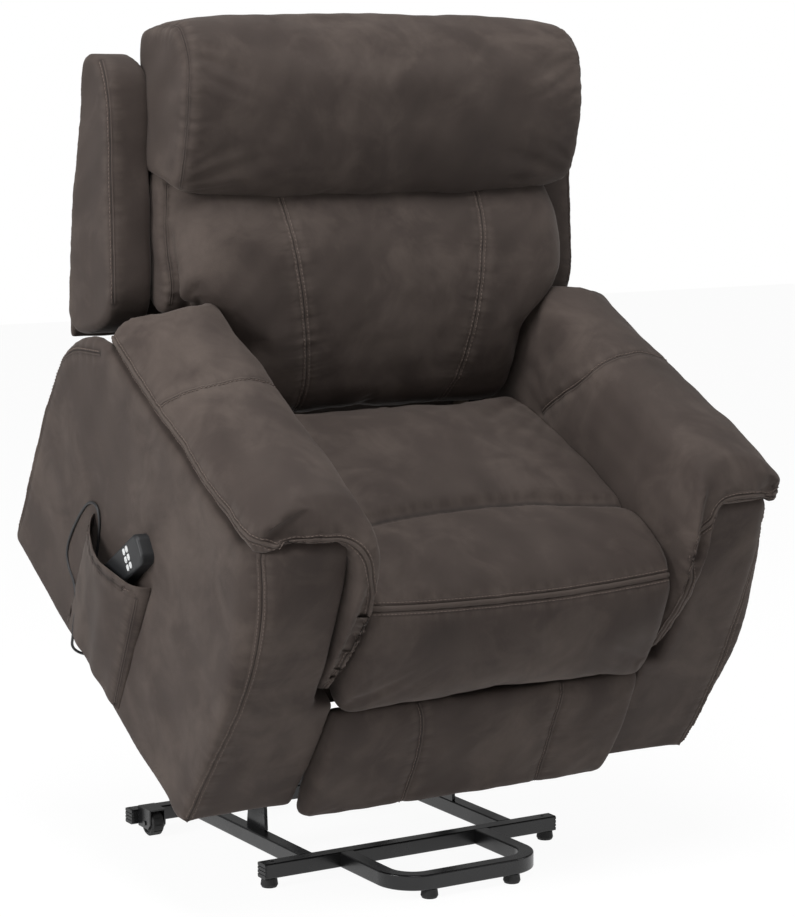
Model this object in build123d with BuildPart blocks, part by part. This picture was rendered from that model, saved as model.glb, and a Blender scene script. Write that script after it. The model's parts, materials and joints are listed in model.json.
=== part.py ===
"""Lift recliner chair: a powered armchair on a lifting base, shown raised and tipped forward.

The chair stands on a tubular base. Two pairs of lift links carry the upholstered body, a rail motor
turns the rear pair, and two more rail motors drive the footrest and the back. All sizes are in
millimetres. X runs to the sitter's left, Y to the back and Z up; the front of the chair looks along -Y.

Everything on the chair body is drawn in the body's own frame: u runs from front to back along the
bottom of the arms and w runs up the back of them. That frame is tipped by lift_tilt when raised.
"""
import os
from math import atan2, cos, degrees, hypot, pi, radians, sin, tan

from build123d import *

os.makedirs("parts", exist_ok=True)

# ---------------------------------------------------------------- driving dimensions
base_y = -56.0  # y of the front crossbar's reference line in the part's frame
lift_tilt = 30.0  # forward tip of the body when raised, degrees
raised_origin = (-98.0, 155.0)  # y, z of the body's front lower corner when raised
lowered_origin = (-178.0, 50.0)  # the same corner when lowered, with no tip

# base tubes
tube_size = 25.0
tube_wall = 1.6
foot_height = 15.0
foot_radius = 14.0
front_bar_y = 7.5
front_bar_half = 277.0
rear_bar_y = 407.5
rear_bar_half = 315.0
rail_x = 190.5
loop_half = 128.0
loop_reach = 172.5
loop_radius = 52.0
loop_foot_x = 77.0
front_foot_x = 263.0
cap_thickness = 4.0
cap_plug = 18.0
tube_hole_radius = 3.0
tube_hole_inset = 20.0

# casters
wheel_radius = 22.0
wheel_width = 22.0
caster_x = 288.0
caster_gap = 3.0
fork_plate = 2.5
fork_side_gap = 1.5
axle_radius = 4.0
running_fit = 0.05

# lift linkage: pivots on the body (u, w) and the y of the pivots on the base
front_pin_uw = (231.0, 31.5)
rear_pin_uw = (361.5, 24.5)
front_base_pivot_y = 191.0
rear_base_pivot_y = 412.5
link_thickness = 6.0
link_gap = 3.0
riser_x = 179.0
pin_radius = 6.0
boss_radius = 17.0
torque_tube_radius = 12.0
pin_play = 0.5

# cross tubes and mechanism plates of the body
front_cross_uw = (225.0, 200.0)
rear_cross_uw = (405.0, 166.0)
plate_x = 279.0
plate_thickness = 6.0

# rail motors
rail_width = 30.0
rail_height = 18.0
carriage_length = 40.0
drive_pin_radius = 5.0
lever_thickness = 8.0
lift_lever_height = 80.0
foot_lever_height = 36.0
back_lever_height = 74.0
foot_motor_x = 85.0
back_motor_x = -85.0

# footrest chain
foot_pivot_uw = (165.0, 195.0)
foot_swing_length = 180.0
foot_closed_angle = -45.0
foot_open_angle = -145.0
foot_extension_open_angle = 148.0
foot_board_turn = 88.0
foot_knee_pin_radius = 5.0
foot_board_pivot_uw = (16.0, 105.0)
small_tube_radius = 11.0
foot_link_half_width = 12.5

# back
back_pivot_uw = (560.0, 300.0)
back_travel = 35.0
back_rake = 25.0
board_foot_uw = (615.0, 360.0)
board_thickness = 12.0

# upholstered outline
pad_rear_u = 575.0
body_half = 469.0
side_thickness = 18.0
inner_panel_x = 312.0
inner_panel_thickness = 15.0
body_depth = 700.0
soft_gap = 0.5
seat_half = 283.0
footrest_half = 276.0
shell_half = 433.0
recess_half = 364.0
headrest_half = 362.0
lumbar_half = 350.0
lumbar_neck_half = 268.0
drape_x = 285.5

# handset and pocket, on the sitter's right
pocket_front_u = 250.0
pocket_rear_u = 467.0
pocket_top_w = 262.0
pocket_bottom_w = 11.0
pocket_bulge = 40.0
pocket_wall = 2.5
handset_end_uw = (280.5, 315.0)
handset_lean = 29.0
handset_length = 140.0
handset_width = 50.0
handset_thickness = 24.0
cord_diameter = 4.5


# ---------------------------------------------------------------- frames
tip = radians(lift_tilt)
body_y = base_y + raised_origin[0]
body_z = raised_origin[1]


def body_point(x, u, w):
    """A point of the body's frame, in the part's frame, at rest."""
    return (x, body_y + u * cos(tip) - w * sin(tip), body_z + u * sin(tip) + w * cos(tip))


def body_side(x):
    """Sketch plane in the body's frame: local axes are u and w, extruded towards +X."""
    return Plane(origin=body_point(x, 0, 0), x_dir=(0, cos(tip), sin(tip)), z_dir=(1, 0, 0))


def body_front(u):
    """Sketch plane across the body: local axes are x and w, extruded towards the front."""
    return Plane(origin=body_point(0, u, 0), x_dir=(1, 0, 0), z_dir=(0, -cos(tip), -sin(tip)))


def body_top(w):
    """Sketch plane along the seat: local axes are x and u, extruded upwards."""
    return Plane(origin=body_point(0, 0, w), x_dir=(1, 0, 0), z_dir=(0, -sin(tip), cos(tip)))


def base_side(x):
    """Sketch plane in the base's frame: local axes are y and z, extruded towards +X."""
    return Plane(origin=(x, base_y, 0), x_dir=(0, 1, 0), z_dir=(1, 0, 0))


def base_top(z):
    """Sketch plane flat over the floor: local axes are x and y, extruded upwards."""
    return Plane(origin=(0, base_y, z), x_dir=(1, 0, 0), z_dir=(0, 0, 1))


def base_front(y):
    """Sketch plane across the base: local axes are x and z, extruded towards the front."""
    return Plane(origin=(0, base_y + y, 0), x_dir=(1, 0, 0), z_dir=(0, -1, 0))


def save(piece, label):
    piece.part.label = label
    export_step(piece.part, f"parts/{label}.step")


# ---------------------------------------------------------------- kinematics of the lift
def turned(vector, angle):
    return (vector[0] * cos(angle) - vector[1] * sin(angle),
            vector[0] * sin(angle) + vector[1] * cos(angle))


def raised(uw):
    """y, z of a body point when raised, from the base's reference line."""
    y, z = turned(uw, tip)
    return (raised_origin[0] + y, raised_origin[1] + z)


def lowered(uw):
    return (lowered_origin[0] + uw[0], lowered_origin[1] + uw[1])


def base_pivot(uw, y):
    """The point at the given y that is as far from a body pin when raised as when lowered."""
    (ry, rz), (ly, lz) = raised(uw), lowered(uw)
    middle_y, middle_z = (ry + ly) / 2, (rz + lz) / 2
    return (y, middle_z - (y - middle_y) * (ry - ly) / (rz - lz))


def angle_to(start, end):
    return atan2(end[1] - start[1], end[0] - start[0])


def sweep_angle(pivot, uw):
    """Turn of a link from raised to lowered, positive about +X."""
    turn = angle_to(pivot, lowered(uw)) - angle_to(pivot, raised(uw))
    return turn % (2 * pi)


front_pivot = base_pivot(front_pin_uw, front_base_pivot_y)
rear_pivot = base_pivot(rear_pin_uw, rear_base_pivot_y)
front_link_length = hypot(front_pivot[0] - raised(front_pin_uw)[0], front_pivot[1] - raised(front_pin_uw)[1])
rear_link_length = hypot(rear_pivot[0] - raised(rear_pin_uw)[0], rear_pivot[1] - raised(rear_pin_uw)[1])
front_sweep = sweep_angle(front_pivot, front_pin_uw)
rear_sweep = sweep_angle(rear_pivot, rear_pin_uw)


def front_pin_drift(share):
    """Where the body's front pin lies from the front link's end, in the link's own raised frame."""
    rear_angle = angle_to(rear_pivot, raised(rear_pin_uw)) + rear_sweep * share
    pin_y = rear_pivot[0] + rear_link_length * cos(rear_angle)
    pin_z = rear_pivot[1] + rear_link_length * sin(rear_angle)
    across = turned((front_pin_uw[0] - rear_pin_uw[0], front_pin_uw[1] - rear_pin_uw[1]), tip * (1 - share))
    front_angle = angle_to(front_pivot, raised(front_pin_uw)) + front_sweep * share
    drift_y = pin_y + across[0] - front_pivot[0] - front_link_length * cos(front_angle)
    drift_z = pin_z + across[1] - front_pivot[1] - front_link_length * sin(front_angle)
    return turned((drift_y, drift_z), -front_sweep * share)


drift = [front_pin_drift(step / 20) for step in range(21)]
eye_shift = ((min(d[0] for d in drift) + max(d[0] for d in drift)) / 2,
             (min(d[1] for d in drift) + max(d[1] for d in drift)) / 2)
eye_play = max(hypot(d[0] - eye_shift[0], d[1] - eye_shift[1]) for d in drift) + pin_play


def lever_play(height, half_turn):
    """How far a drive pin on a straight rail strays across a straight radial slot."""
    travel = height * tan(half_turn)
    turns = [half_turn * step / 20 for step in range(21)]
    return max(abs(height * tan(t) - travel * t / half_turn) * cos(t) for t in turns) + pin_play


lift_half_turn = rear_sweep / 2
lift_travel = 2 * lift_lever_height * tan(lift_half_turn)
foot_half_turn = radians(foot_closed_angle - foot_open_angle) / 2
foot_travel = 2 * foot_lever_height * tan(foot_half_turn)
back_half_turn = radians(back_travel) / 2
back_slide = 2 * back_lever_height * tan(back_half_turn)

# the knee of the footrest chain and the extension link that folds behind the board
closed = radians(foot_closed_angle)
opened = radians(foot_open_angle)
foot_knee_uw = (foot_pivot_uw[0] + foot_swing_length * cos(closed),
                foot_pivot_uw[1] + foot_swing_length * sin(closed))
foot_extension_closed = angle_to(foot_knee_uw, foot_board_pivot_uw)
foot_swing_turn = opened - closed
foot_extension_turn = radians(foot_extension_open_angle) - foot_extension_closed - foot_swing_turn
foot_board_joint_turn = -radians(foot_board_turn) - foot_swing_turn - foot_extension_turn

sides = {"right": -1, "left": 1}


def span(side, near, thickness):
    """Lowest x of a slab that starts at |x| = near and grows outwards."""
    return near if side > 0 else -near - thickness


# ---------------------------------------------------------------- base
tube_top = foot_height + tube_size
tube_mid = foot_height + tube_size / 2


def tube_section():
    """A square tube's wall, with slightly rounded corners."""
    RectangleRounded(tube_size, tube_size, 2.5)
    Rectangle(tube_size - 2 * tube_wall, tube_size - 2 * tube_wall, mode=Mode.SUBTRACT)


def crossbar(label, y, half):
    length = 2 * (half - cap_thickness)
    with BuildPart() as bar:
        with BuildSketch(base_side(-length / 2)):
            with Locations((y, tube_mid)):
                tube_section()
        extrude(amount=length)
        with BuildSketch(base_top(tube_top + 1)):
            with Locations((half - tube_hole_inset, y), (tube_hole_inset - half, y)):
                Circle(tube_hole_radius)
        extrude(amount=-3 - tube_wall, mode=Mode.SUBTRACT)
    save(bar, label)


crossbar("front_crossbar", front_bar_y, front_bar_half)
crossbar("rear_crossbar", rear_bar_y, rear_bar_half)

rail_start = front_bar_y + tube_size / 2
rail_end = rear_bar_y - tube_size / 2
for name, side in sides.items():
    with BuildPart() as rail:
        with BuildSketch(Plane(origin=(side * rail_x, base_y + rail_start, tube_mid),
                               x_dir=(1, 0, 0), z_dir=(0, 1, 0))):
            tube_section()
        extrude(amount=rail_end - rail_start)
    save(rail, f"side_rail_{name}")

with BuildPart() as loop:
    with BuildLine() as loop_path:
        FilletPolyline(
            (-loop_half, base_y + front_bar_y - tube_size / 2, tube_mid),
            (-loop_half, base_y - loop_reach, tube_mid),
            (loop_half, base_y - loop_reach, tube_mid),
            (loop_half, base_y + front_bar_y - tube_size / 2, tube_mid),
            radius=loop_radius,
        )
    with BuildSketch(Plane(origin=loop_path.line @ 0, x_dir=(1, 0, 0), z_dir=(0, -1, 0))):
        tube_section()
    sweep()
save(loop, "front_loop")

with BuildPart() as caps:
    for y, half in ((front_bar_y, front_bar_half), (rear_bar_y, rear_bar_half)):
        for side in sides.values():
            with BuildSketch(base_side(side * (half - cap_thickness))):
                with Locations((y, tube_mid)):
                    RectangleRounded(tube_size, tube_size, 3)
            extrude(amount=side * cap_thickness)
            with BuildSketch(base_side(side * (half - cap_thickness))):
                with Locations((y, tube_mid)):
                    Rectangle(tube_size - 2 * tube_wall, tube_size - 2 * tube_wall)
            extrude(amount=-side * cap_plug)
            with BuildSketch(base_side(side * (half + 1))):
                with Locations((y, tube_mid)):
                    with GridLocations(0, 6, 1, 3):
                        Rectangle(tube_size + 2, 1.6)
            extrude(amount=-side * 2.2, mode=Mode.SUBTRACT)
save(caps, "tube_end_caps")

with BuildPart() as feet:
    foot_places = [(side * front_foot_x, front_bar_y) for side in sides.values()]
    foot_places += [(side * loop_foot_x, -loop_reach) for side in sides.values()]
    for x, y in foot_places:
        with BuildSketch(Plane(origin=(x, base_y + y, 0), x_dir=(1, 0, 0), z_dir=(0, -1, 0))):
            with BuildLine():
                Polyline((0, foot_height), (0, 0), (foot_radius - 2, 0), (foot_radius, 4),
                         (foot_radius - 1.5, foot_height), close=True)
            make_face()
        revolve(axis=Axis((x, base_y + y, 0), (0, 0, 1)))
save(feet, "floor_feet")

# casters: a fork with a riveted axle, welded to the front face of the rear crossbar, and its wheel
wheel_y = rail_end - wheel_radius - caster_gap
fork_top = 2 * wheel_radius + 1
fork_half = wheel_width / 2 + fork_side_gap
fork_outer = fork_half + fork_plate
fork_low = wheel_radius - 9
with BuildPart() as forks:
    for side in sides.values():
        with BuildSketch(base_front(rail_end)):
            with Locations((side * caster_x, (fork_low + fork_top + fork_plate) / 2)):
                Rectangle(2 * fork_outer, fork_top + fork_plate - fork_low)
            with Locations((side * caster_x, (fork_low + fork_top) / 2)):
                Rectangle(2 * fork_half, fork_top - fork_low, mode=Mode.SUBTRACT)
        extrude(amount=rail_end - wheel_y + wheel_radius - 4)
        with BuildSketch(base_side(side * caster_x - fork_outer - 2)):
            with Locations((wheel_y, wheel_radius)):
                Circle(axle_radius)
        extrude(amount=2 * (fork_outer + 2))
    corners = forks.edges().filter_by(Axis.X).group_by(Axis.Y)[0].group_by(Axis.Z)[0]
    chamfer(corners, 8)
save(forks, "caster_forks")

for name, side in sides.items():
    with BuildPart() as wheel:
        with BuildSketch(base_side(side * caster_x - wheel_width / 2)):
            with Locations((wheel_y, wheel_radius)):
                Circle(wheel_radius)
                Circle(axle_radius + running_fit, mode=Mode.SUBTRACT)
        extrude(amount=wheel_width)
        rims = wheel.edges().filter_by(GeomType.CIRCLE).filter_by(lambda e: e.radius == wheel_radius)
        chamfer(rims, 2.5)
        with BuildSketch(base_side(side * caster_x - wheel_width / 2)):
            with Locations((wheel_y, wheel_radius)):
                Circle(wheel_radius - 6)
                Circle(axle_radius + 5, mode=Mode.SUBTRACT)
        extrude(amount=2, mode=Mode.SUBTRACT)
        with BuildSketch(base_side(side * caster_x + wheel_width / 2)):
            with Locations((wheel_y, wheel_radius)):
                Circle(wheel_radius - 6)
                Circle(axle_radius + 5, mode=Mode.SUBTRACT)
        extrude(amount=-2, mode=Mode.SUBTRACT)
        with BuildSketch(base_side(side * caster_x - wheel_width / 2 + 4)):
            with Locations((wheel_y, wheel_radius)):
                with PolarLocations(wheel_radius, 12):
                    Rectangle(1.6, 2.4)
        extrude(amount=wheel_width - 8, mode=Mode.SUBTRACT)
    save(wheel, f"caster_wheel_{name}")


# ---------------------------------------------------------------- lift linkage
def rounded_plate(ends, holes=()):
    """Outline of a flat bar: the hull of a circle round each end, with round holes in it."""
    for point, radius in ends:
        with Locations(point):
            Circle(radius)
    make_hull()
    for point, radius in holes:
        with Locations(point):
            Circle(radius, mode=Mode.SUBTRACT)


# The planes of the linkage, from the outside in: risers, front links, brackets, rear links. The front pins
# stand outwards from the brackets and the rear pins inwards, so each link swings past the other's pins.
plane_step = link_gap + link_thickness
link_x = riser_x - plane_step
bracket_x = link_x - plane_step
rear_link_x = bracket_x - plane_step
pin_end = 1.5
stud_end = link_x - pin_end
with BuildPart() as risers:
    for side in sides.values():
        with BuildSketch(base_side(span(side, riser_x, link_thickness))):
            rounded_plate([(front_pivot, boss_radius), ((front_pivot[0] - 24, tube_top + 2), 2),
                           ((front_pivot[0] + 34, tube_top + 2), 2)])
        extrude(amount=link_thickness)
        with BuildSketch(base_side(span(side, stud_end, riser_x - stud_end + link_thickness))):
            with Locations(front_pivot):
                Circle(pin_radius)
        extrude(amount=riser_x - stud_end + link_thickness)
        with BuildSketch(base_side(span(side, riser_x, link_thickness))):
            rounded_plate([(rear_pivot, boss_radius + 3), ((rear_pivot[0] - 52, tube_top + 2), 2),
                           ((rear_bar_y + tube_size / 2 - 2, tube_top + 2), 2)],
                          [(rear_pivot, torque_tube_radius + running_fit)])
        extrude(amount=link_thickness)
save(risers, "lift_risers")

with BuildPart() as rear_links:
    for side in sides.values():
        with BuildSketch(base_side(span(side, rear_link_x, link_thickness))):
            rounded_plate([(rear_pivot, boss_radius + 3), (raised(rear_pin_uw), boss_radius - 3)],
                          [(rear_pivot, torque_tube_radius), (raised(rear_pin_uw), pin_radius + running_fit)])
        extrude(amount=link_thickness)
save(rear_links, "rear_lift_links")


def lever_outline(pivot, height, half_turn, lean, hub):
    """A lever with a straight radial slot for a drive pin; lean is its turn from straight down."""
    play = lever_play(height, half_turn)
    inner = height - drive_pin_radius - pin_play
    outer = height / cos(half_turn) + drive_pin_radius + pin_play
    slot_middle = (inner + outer) / 2
    wide = drive_pin_radius + play
    tip_y, tip_z = turned((0, -outer + wide / 2), lean)
    middle_y, middle_z = turned((0, -slot_middle), lean)
    rounded_plate([(pivot, hub), ((pivot[0] + tip_y, pivot[1] + tip_z), wide + lever_wall)])
    with Locations((pivot[0] + middle_y, pivot[1] + middle_z)):
        Rectangle(2 * wide, outer - inner, rotation=degrees(lean), mode=Mode.SUBTRACT)


lever_wall = 5.0
with BuildPart() as rear_tube:
    tube_half = riser_x + link_thickness + 3
    with BuildSketch(base_side(-tube_half)):
        with Locations(rear_pivot):
            Circle(torque_tube_radius)
            Circle(torque_tube_radius - 2.5, mode=Mode.SUBTRACT)
    extrude(amount=2 * tube_half)
    with BuildSketch(base_side(-lever_thickness / 2)):
        lever_outline(rear_pivot, lift_lever_height, lift_half_turn, -lift_half_turn, torque_tube_radius + 6)
        with Locations(rear_pivot):
            Circle(torque_tube_radius - 1, mode=Mode.SUBTRACT)
    extrude(amount=lever_thickness)
save(rear_tube, "rear_torque_tube")

front_eye = (raised(front_pin_uw)[0] + eye_shift[0], raised(front_pin_uw)[1] + eye_shift[1])
with BuildPart() as front_links:
    for side in sides.values():
        with BuildSketch(base_side(span(side, link_x, link_thickness))):
            rounded_plate([(front_pivot, boss_radius - 3), (front_eye, pin_radius + eye_play + 6)],
                          [(front_pivot, pin_radius + running_fit), (front_eye, pin_radius + eye_play)])
        extrude(amount=link_thickness)
save(front_links, "front_lift_links")

with BuildPart() as brackets:
    for side in sides.values():
        with BuildSketch(body_side(span(side, bracket_x, link_thickness))):
            rounded_plate([(front_pin_uw, boss_radius), (rear_pin_uw, boss_radius),
                           (front_cross_uw, tube_size / 2 + 6), (rear_cross_uw, tube_size / 2 + 6)])
            for cross in (front_cross_uw, rear_cross_uw):
                with Locations(cross):
                    Rectangle(tube_size, tube_size, mode=Mode.SUBTRACT)
            with Locations((front_pin_uw[0] / 2 + rear_pin_uw[0] / 2, 105)):
                Circle(28, mode=Mode.SUBTRACT)
        extrude(amount=link_thickness)
        pin_length = plane_step + link_thickness + pin_end
        for pin, near in ((front_pin_uw, bracket_x), (rear_pin_uw, rear_link_x - pin_end)):
            with BuildSketch(body_side(span(side, near, pin_length))):
                with Locations(pin):
                    Circle(pin_radius)
            extrude(amount=pin_length)
save(brackets, "lift_brackets")

with BuildPart() as cross_tubes:
    for cross in (front_cross_uw, rear_cross_uw):
        with BuildSketch(body_side(-plate_x)):
            with Locations(cross):
                tube_section()
        extrude(amount=2 * plate_x)
save(cross_tubes, "cross_tubes")

with BuildPart() as plates:
    for side in sides.values():
        with BuildSketch(body_side(span(side, plate_x, plate_thickness))):
            with BuildLine():
                FilletPolyline((20, 190), (20, 238), (506, 238), (522, 330), (598, 330), (590, 262),
                               (440, 140), (380, 140), (230, 172), (120, 172), radius=12, close=True)
            make_face()
            with Locations(foot_pivot_uw, back_pivot_uw):
                Circle(small_tube_radius + running_fit, mode=Mode.SUBTRACT)
            with Locations((315, 190), (470, 205)):
                Circle(15, mode=Mode.SUBTRACT)
        extrude(amount=plate_thickness)
save(plates, "mechanism_plates")


# ---------------------------------------------------------------- rail motors
slider_base = 8.0
slider_lift = 0.3
lever_room = 2.0


def rail_top_of(pivot_height, height, half_turn):
    """Top of a rail that the lever's tip and the slider's base both clear."""
    play = lever_play(height, half_turn)
    outer = height / cos(half_turn) + drive_pin_radius + pin_play
    tip_reach = outer - (drive_pin_radius + play) / 2 + drive_pin_radius + play + lever_wall
    return pivot_height - tip_reach - lever_room - slider_base - slider_lift


gear_length = 56.0
gear_height = 58.0


def rail_motor(label, across, along, x, top, start, end, motor_end, can_side, feet):
    """A motor and gearbox on the end of a channel rail; feet are pads under or over the rail."""
    gear_width, can_radius, can_length = 54, 20, 68
    gear_start = start - gear_length if motor_end == "front" else end
    low = top - rail_height
    gear_middle = (gear_start + gear_length / 2, low + rail_height / 2)
    with BuildPart() as motor:
        with BuildSketch(across(end)):
            with Locations((x, top - rail_height / 2)):
                RectangleRounded(rail_width, rail_height, 2)
            with Locations((x, top - rail_height / 2 + 2)):
                Rectangle(rail_width - 4, rail_height - 3, mode=Mode.SUBTRACT)
        extrude(amount=end - start)
        with BuildSketch(across(end)):
            with Locations((x, top - rail_height / 2)):
                Circle(rail_height / 2 - 3)
        extrude(amount=end - start)
        with BuildSketch(along(x - gear_width / 2)):
            with Locations(gear_middle):
                RectangleRounded(gear_length, gear_height, 10)
        extrude(amount=gear_width)
        with BuildSketch(along(x + can_side * (gear_width / 2 - 1))):
            with Locations(gear_middle):
                Circle(can_radius)
        extrude(amount=can_side * can_length)
        chamfer(motor.faces().sort_by(Axis.X)[-1 if can_side > 0 else 0].edges(), 3)
        for foot_start, foot_end, foot_low, foot_high in feet:
            with BuildSketch(along(x - rail_width / 2)):
                with Locations(((foot_start + foot_end) / 2, (foot_low + foot_high) / 2)):
                    Rectangle(foot_end - foot_start, foot_high - foot_low)
            extrude(amount=rail_width)
    save(motor, label)


def rail_carriage(label, along, x, top, pin):
    """The slider that the spindle drives along the rail, with the pin that turns the lever."""
    base_low = top + slider_lift
    ear_outer = lever_thickness / 2 + 8
    ear_inner = lever_thickness / 2 + 1.5
    with BuildPart() as carriage:
        with BuildSketch(along(x - ear_outer)):
            rounded_plate([(pin, drive_pin_radius + 4), ((pin[0] - carriage_length / 2 + 2, base_low + 2), 2),
                           ((pin[0] + carriage_length / 2 - 2, base_low + 2), 2)])
        extrude(amount=2 * ear_outer)
        with BuildSketch(along(x - ear_inner)):
            with Locations((pin[0], base_low + slider_base + 100)):
                Rectangle(2 * carriage_length, 200)
        extrude(amount=2 * ear_inner, mode=Mode.SUBTRACT)
        with BuildSketch(along(x - ear_outer)):
            with Locations(pin):
                Circle(drive_pin_radius)
        extrude(amount=2 * ear_outer)
        for side in sides.values():
            with BuildSketch(along(x + side * (rail_width / 2 + slider_lift))):
                with Locations((pin[0], base_low - 2)):
                    Rectangle(carriage_length, 2 * (slider_base - 2))
            extrude(amount=side * 4)
            with BuildSketch(along(x + side * (ear_outer - 1))):
                with Locations((pin[0], base_low + (slider_base - 4) / 2)):
                    Rectangle(carriage_length, slider_base - 4)
            extrude(amount=side * (rail_width / 2 + slider_lift + 4 - ear_outer + 1))
    save(carriage, label)


lift_pin = (rear_pivot[0] - lift_travel / 2, rear_pivot[1] - lift_lever_height)
lift_rail_top = rail_top_of(rear_pivot[1], lift_lever_height, lift_half_turn)
rail_margin = carriage_length / 2 + 2
rail_motor("lift_motor", base_front, base_side, 0, lift_rail_top, lift_pin[0] - rail_margin - 10,
           rear_pivot[0] + lift_travel / 2 + rail_margin, "front", 1, [])
rail_carriage("lift_carriage", base_side, 0, lift_rail_top, lift_pin)

flange = 4.0
with BuildPart() as motor_bracket:
    under_rail = lift_rail_top - rail_height
    with BuildSketch(base_side(-rail_width / 2 - 8)):
        with Locations((rear_bar_y, tube_top + flange / 2)):
            Rectangle(24, flange)
        with Locations((rear_bar_y, (tube_top + under_rail) / 2)):
            Rectangle(2 * flange, under_rail - tube_top)
        with Locations((rear_bar_y, under_rail - flange / 2)):
            Rectangle(40, flange)
    extrude(amount=rail_width + 16)
save(motor_bracket, "lift_motor_bracket")

foot_pin = (foot_pivot_uw[0] + foot_travel / 2, foot_pivot_uw[1] - foot_lever_height)
foot_rail_top = rail_top_of(foot_pivot_uw[1], foot_lever_height, foot_half_turn)
foot_rail_end = rear_cross_uw[0] + tube_size / 2 - gear_length
cross_low = rear_cross_uw[1] - tube_size / 2
rail_motor("footrest_motor", body_front, body_side, foot_motor_x, foot_rail_top,
           foot_pin[0] - foot_travel - rail_margin, foot_rail_end, "rear", -1,
           [(rear_cross_uw[0] - tube_size / 2, rear_cross_uw[0] + tube_size / 2,
             foot_rail_top + (gear_height - rail_height) / 2 - 8, cross_low)])
rail_carriage("footrest_carriage", body_side, foot_motor_x, foot_rail_top, foot_pin)

back_pin = (back_pivot_uw[0] + back_slide / 2, back_pivot_uw[1] - back_lever_height)
back_rail_top = rail_top_of(back_pivot_uw[1], back_lever_height, back_half_turn)
cross_top = rear_cross_uw[1] + tube_size / 2
back_rail_start = rear_cross_uw[0] - tube_size / 2 - 4
rail_motor("back_motor", body_front, body_side, back_motor_x, back_rail_top, back_rail_start,
           back_pin[0] + rail_margin, "front", 1,
           [(rear_cross_uw[0] - tube_size / 2, rear_cross_uw[0] + tube_size / 2, cross_top,
             back_rail_top - rail_height + 1)])
rail_carriage("back_carriage", body_side, back_motor_x, back_rail_top, back_pin)


# ---------------------------------------------------------------- footrest
swing_x = 262.0
extension_x = 253.0
board_bracket_x = 244.0
foot_pad_depth = 33.0
footrest_low = 14.0
footrest_high = 214.0

with BuildPart() as swing_links:
    for side in sides.values():
        with BuildSketch(body_side(span(side, swing_x, link_thickness))):
            rounded_plate([(foot_pivot_uw, 18), (foot_knee_uw, foot_link_half_width)],
                          [(foot_pivot_uw, small_tube_radius)])
        extrude(amount=link_thickness)
        with BuildSketch(body_side(span(side, extension_x - 1.5, swing_x - extension_x + 1.5))):
            with Locations(foot_knee_uw):
                Circle(foot_knee_pin_radius)
        extrude(amount=swing_x - extension_x + 1.5)
save(swing_links, "footrest_swing_links")

small_tube_half = plate_x + plate_thickness
with BuildPart() as foot_tube:
    with BuildSketch(body_side(-small_tube_half)):
        with Locations(foot_pivot_uw):
            Circle(small_tube_radius)
            Circle(small_tube_radius - 2.5, mode=Mode.SUBTRACT)
    extrude(amount=2 * small_tube_half)
    with BuildSketch(body_side(foot_motor_x - lever_thickness / 2)):
        lever_outline(foot_pivot_uw, foot_lever_height, foot_half_turn, foot_half_turn, small_tube_radius + 5)
        with Locations(foot_pivot_uw):
            Circle(small_tube_radius - 1, mode=Mode.SUBTRACT)
    extrude(amount=lever_thickness)
save(foot_tube, "footrest_torque_tube")

with BuildPart() as extension_links:
    for side in sides.values():
        with BuildSketch(body_side(span(side, extension_x, link_thickness))):
            rounded_plate([(foot_knee_uw, foot_link_half_width), (foot_board_pivot_uw, foot_link_half_width)],
                          [(foot_knee_uw, foot_knee_pin_radius + running_fit)])
        extrude(amount=link_thickness)
        with BuildSketch(body_side(span(side, board_bracket_x - 1.5, extension_x - board_bracket_x + 1.5))):
            with Locations(foot_board_pivot_uw):
                Circle(foot_knee_pin_radius)
        extrude(amount=extension_x - board_bracket_x + 1.5)
save(extension_links, "footrest_extension_links")

with BuildPart() as foot_brackets:
    for side in sides.values():
        with BuildSketch(body_side(span(side, board_bracket_x, link_thickness))):
            rounded_plate([(foot_board_pivot_uw, foot_link_half_width - 1), ((2.5, 60), 2), ((2.5, 150), 2)],
                          [(foot_board_pivot_uw, foot_knee_pin_radius + running_fit)])
            with Locations((-5 + 0.5, 105)):
                Rectangle(10, 200, mode=Mode.SUBTRACT)
        extrude(amount=link_thickness)
        with BuildSketch(body_side(span(side, board_bracket_x - 24, 26))):
            with Locations((2.0, 105)):
                Rectangle(3, 94)
        extrude(amount=26)
save(foot_brackets, "footrest_brackets")

with BuildPart() as foot_board:
    with BuildSketch(body_front(0.5)):
        with Locations((0, (footrest_low + footrest_high) / 2)):
            RectangleRounded(2 * footrest_half - 24, footrest_high - footrest_low - 24, 14)
    extrude(amount=board_thickness)
save(foot_board, "footrest_board")

with BuildPart() as foot_pad:
    with BuildSketch(body_side(-footrest_half)):
        with BuildLine():
            back_u = 0.5 - board_thickness
            edge_u = back_u - 16
            Polyline((back_u, footrest_low), (back_u, footrest_high), (edge_u, footrest_high))
            ThreePointArc((edge_u, footrest_high),
                          (back_u - foot_pad_depth, (footrest_low + footrest_high) / 2),
                          (edge_u, footrest_low))
            Line((edge_u, footrest_low), (back_u, footrest_low))
        make_face()
    extrude(amount=2 * footrest_half)
    ends = foot_pad.faces().filter_by(Axis.X).edges().filter_by(GeomType.CIRCLE)
    fillet(ends, 12)
save(foot_pad, "footrest_pad")

# ---------------------------------------------------------------- seat
cleat_low = 195.0
seat_front_rail_uw = (36.0, 215.0)
seat_rear_rail_uw = (480.5, 221.5)
seat_rail_width = 26.0
spring_low = 238.2
with BuildPart() as cleats:
    for side in sides.values():
        start = plate_x + plate_thickness
        with BuildSketch(body_side(span(side, start, inner_panel_x - start))):
            with Locations((370, (cleat_low + 235) / 2)):
                Rectangle(320, 235 - cleat_low)
        extrude(amount=inner_panel_x - start)
save(cleats, "mounting_cleats")

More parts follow.
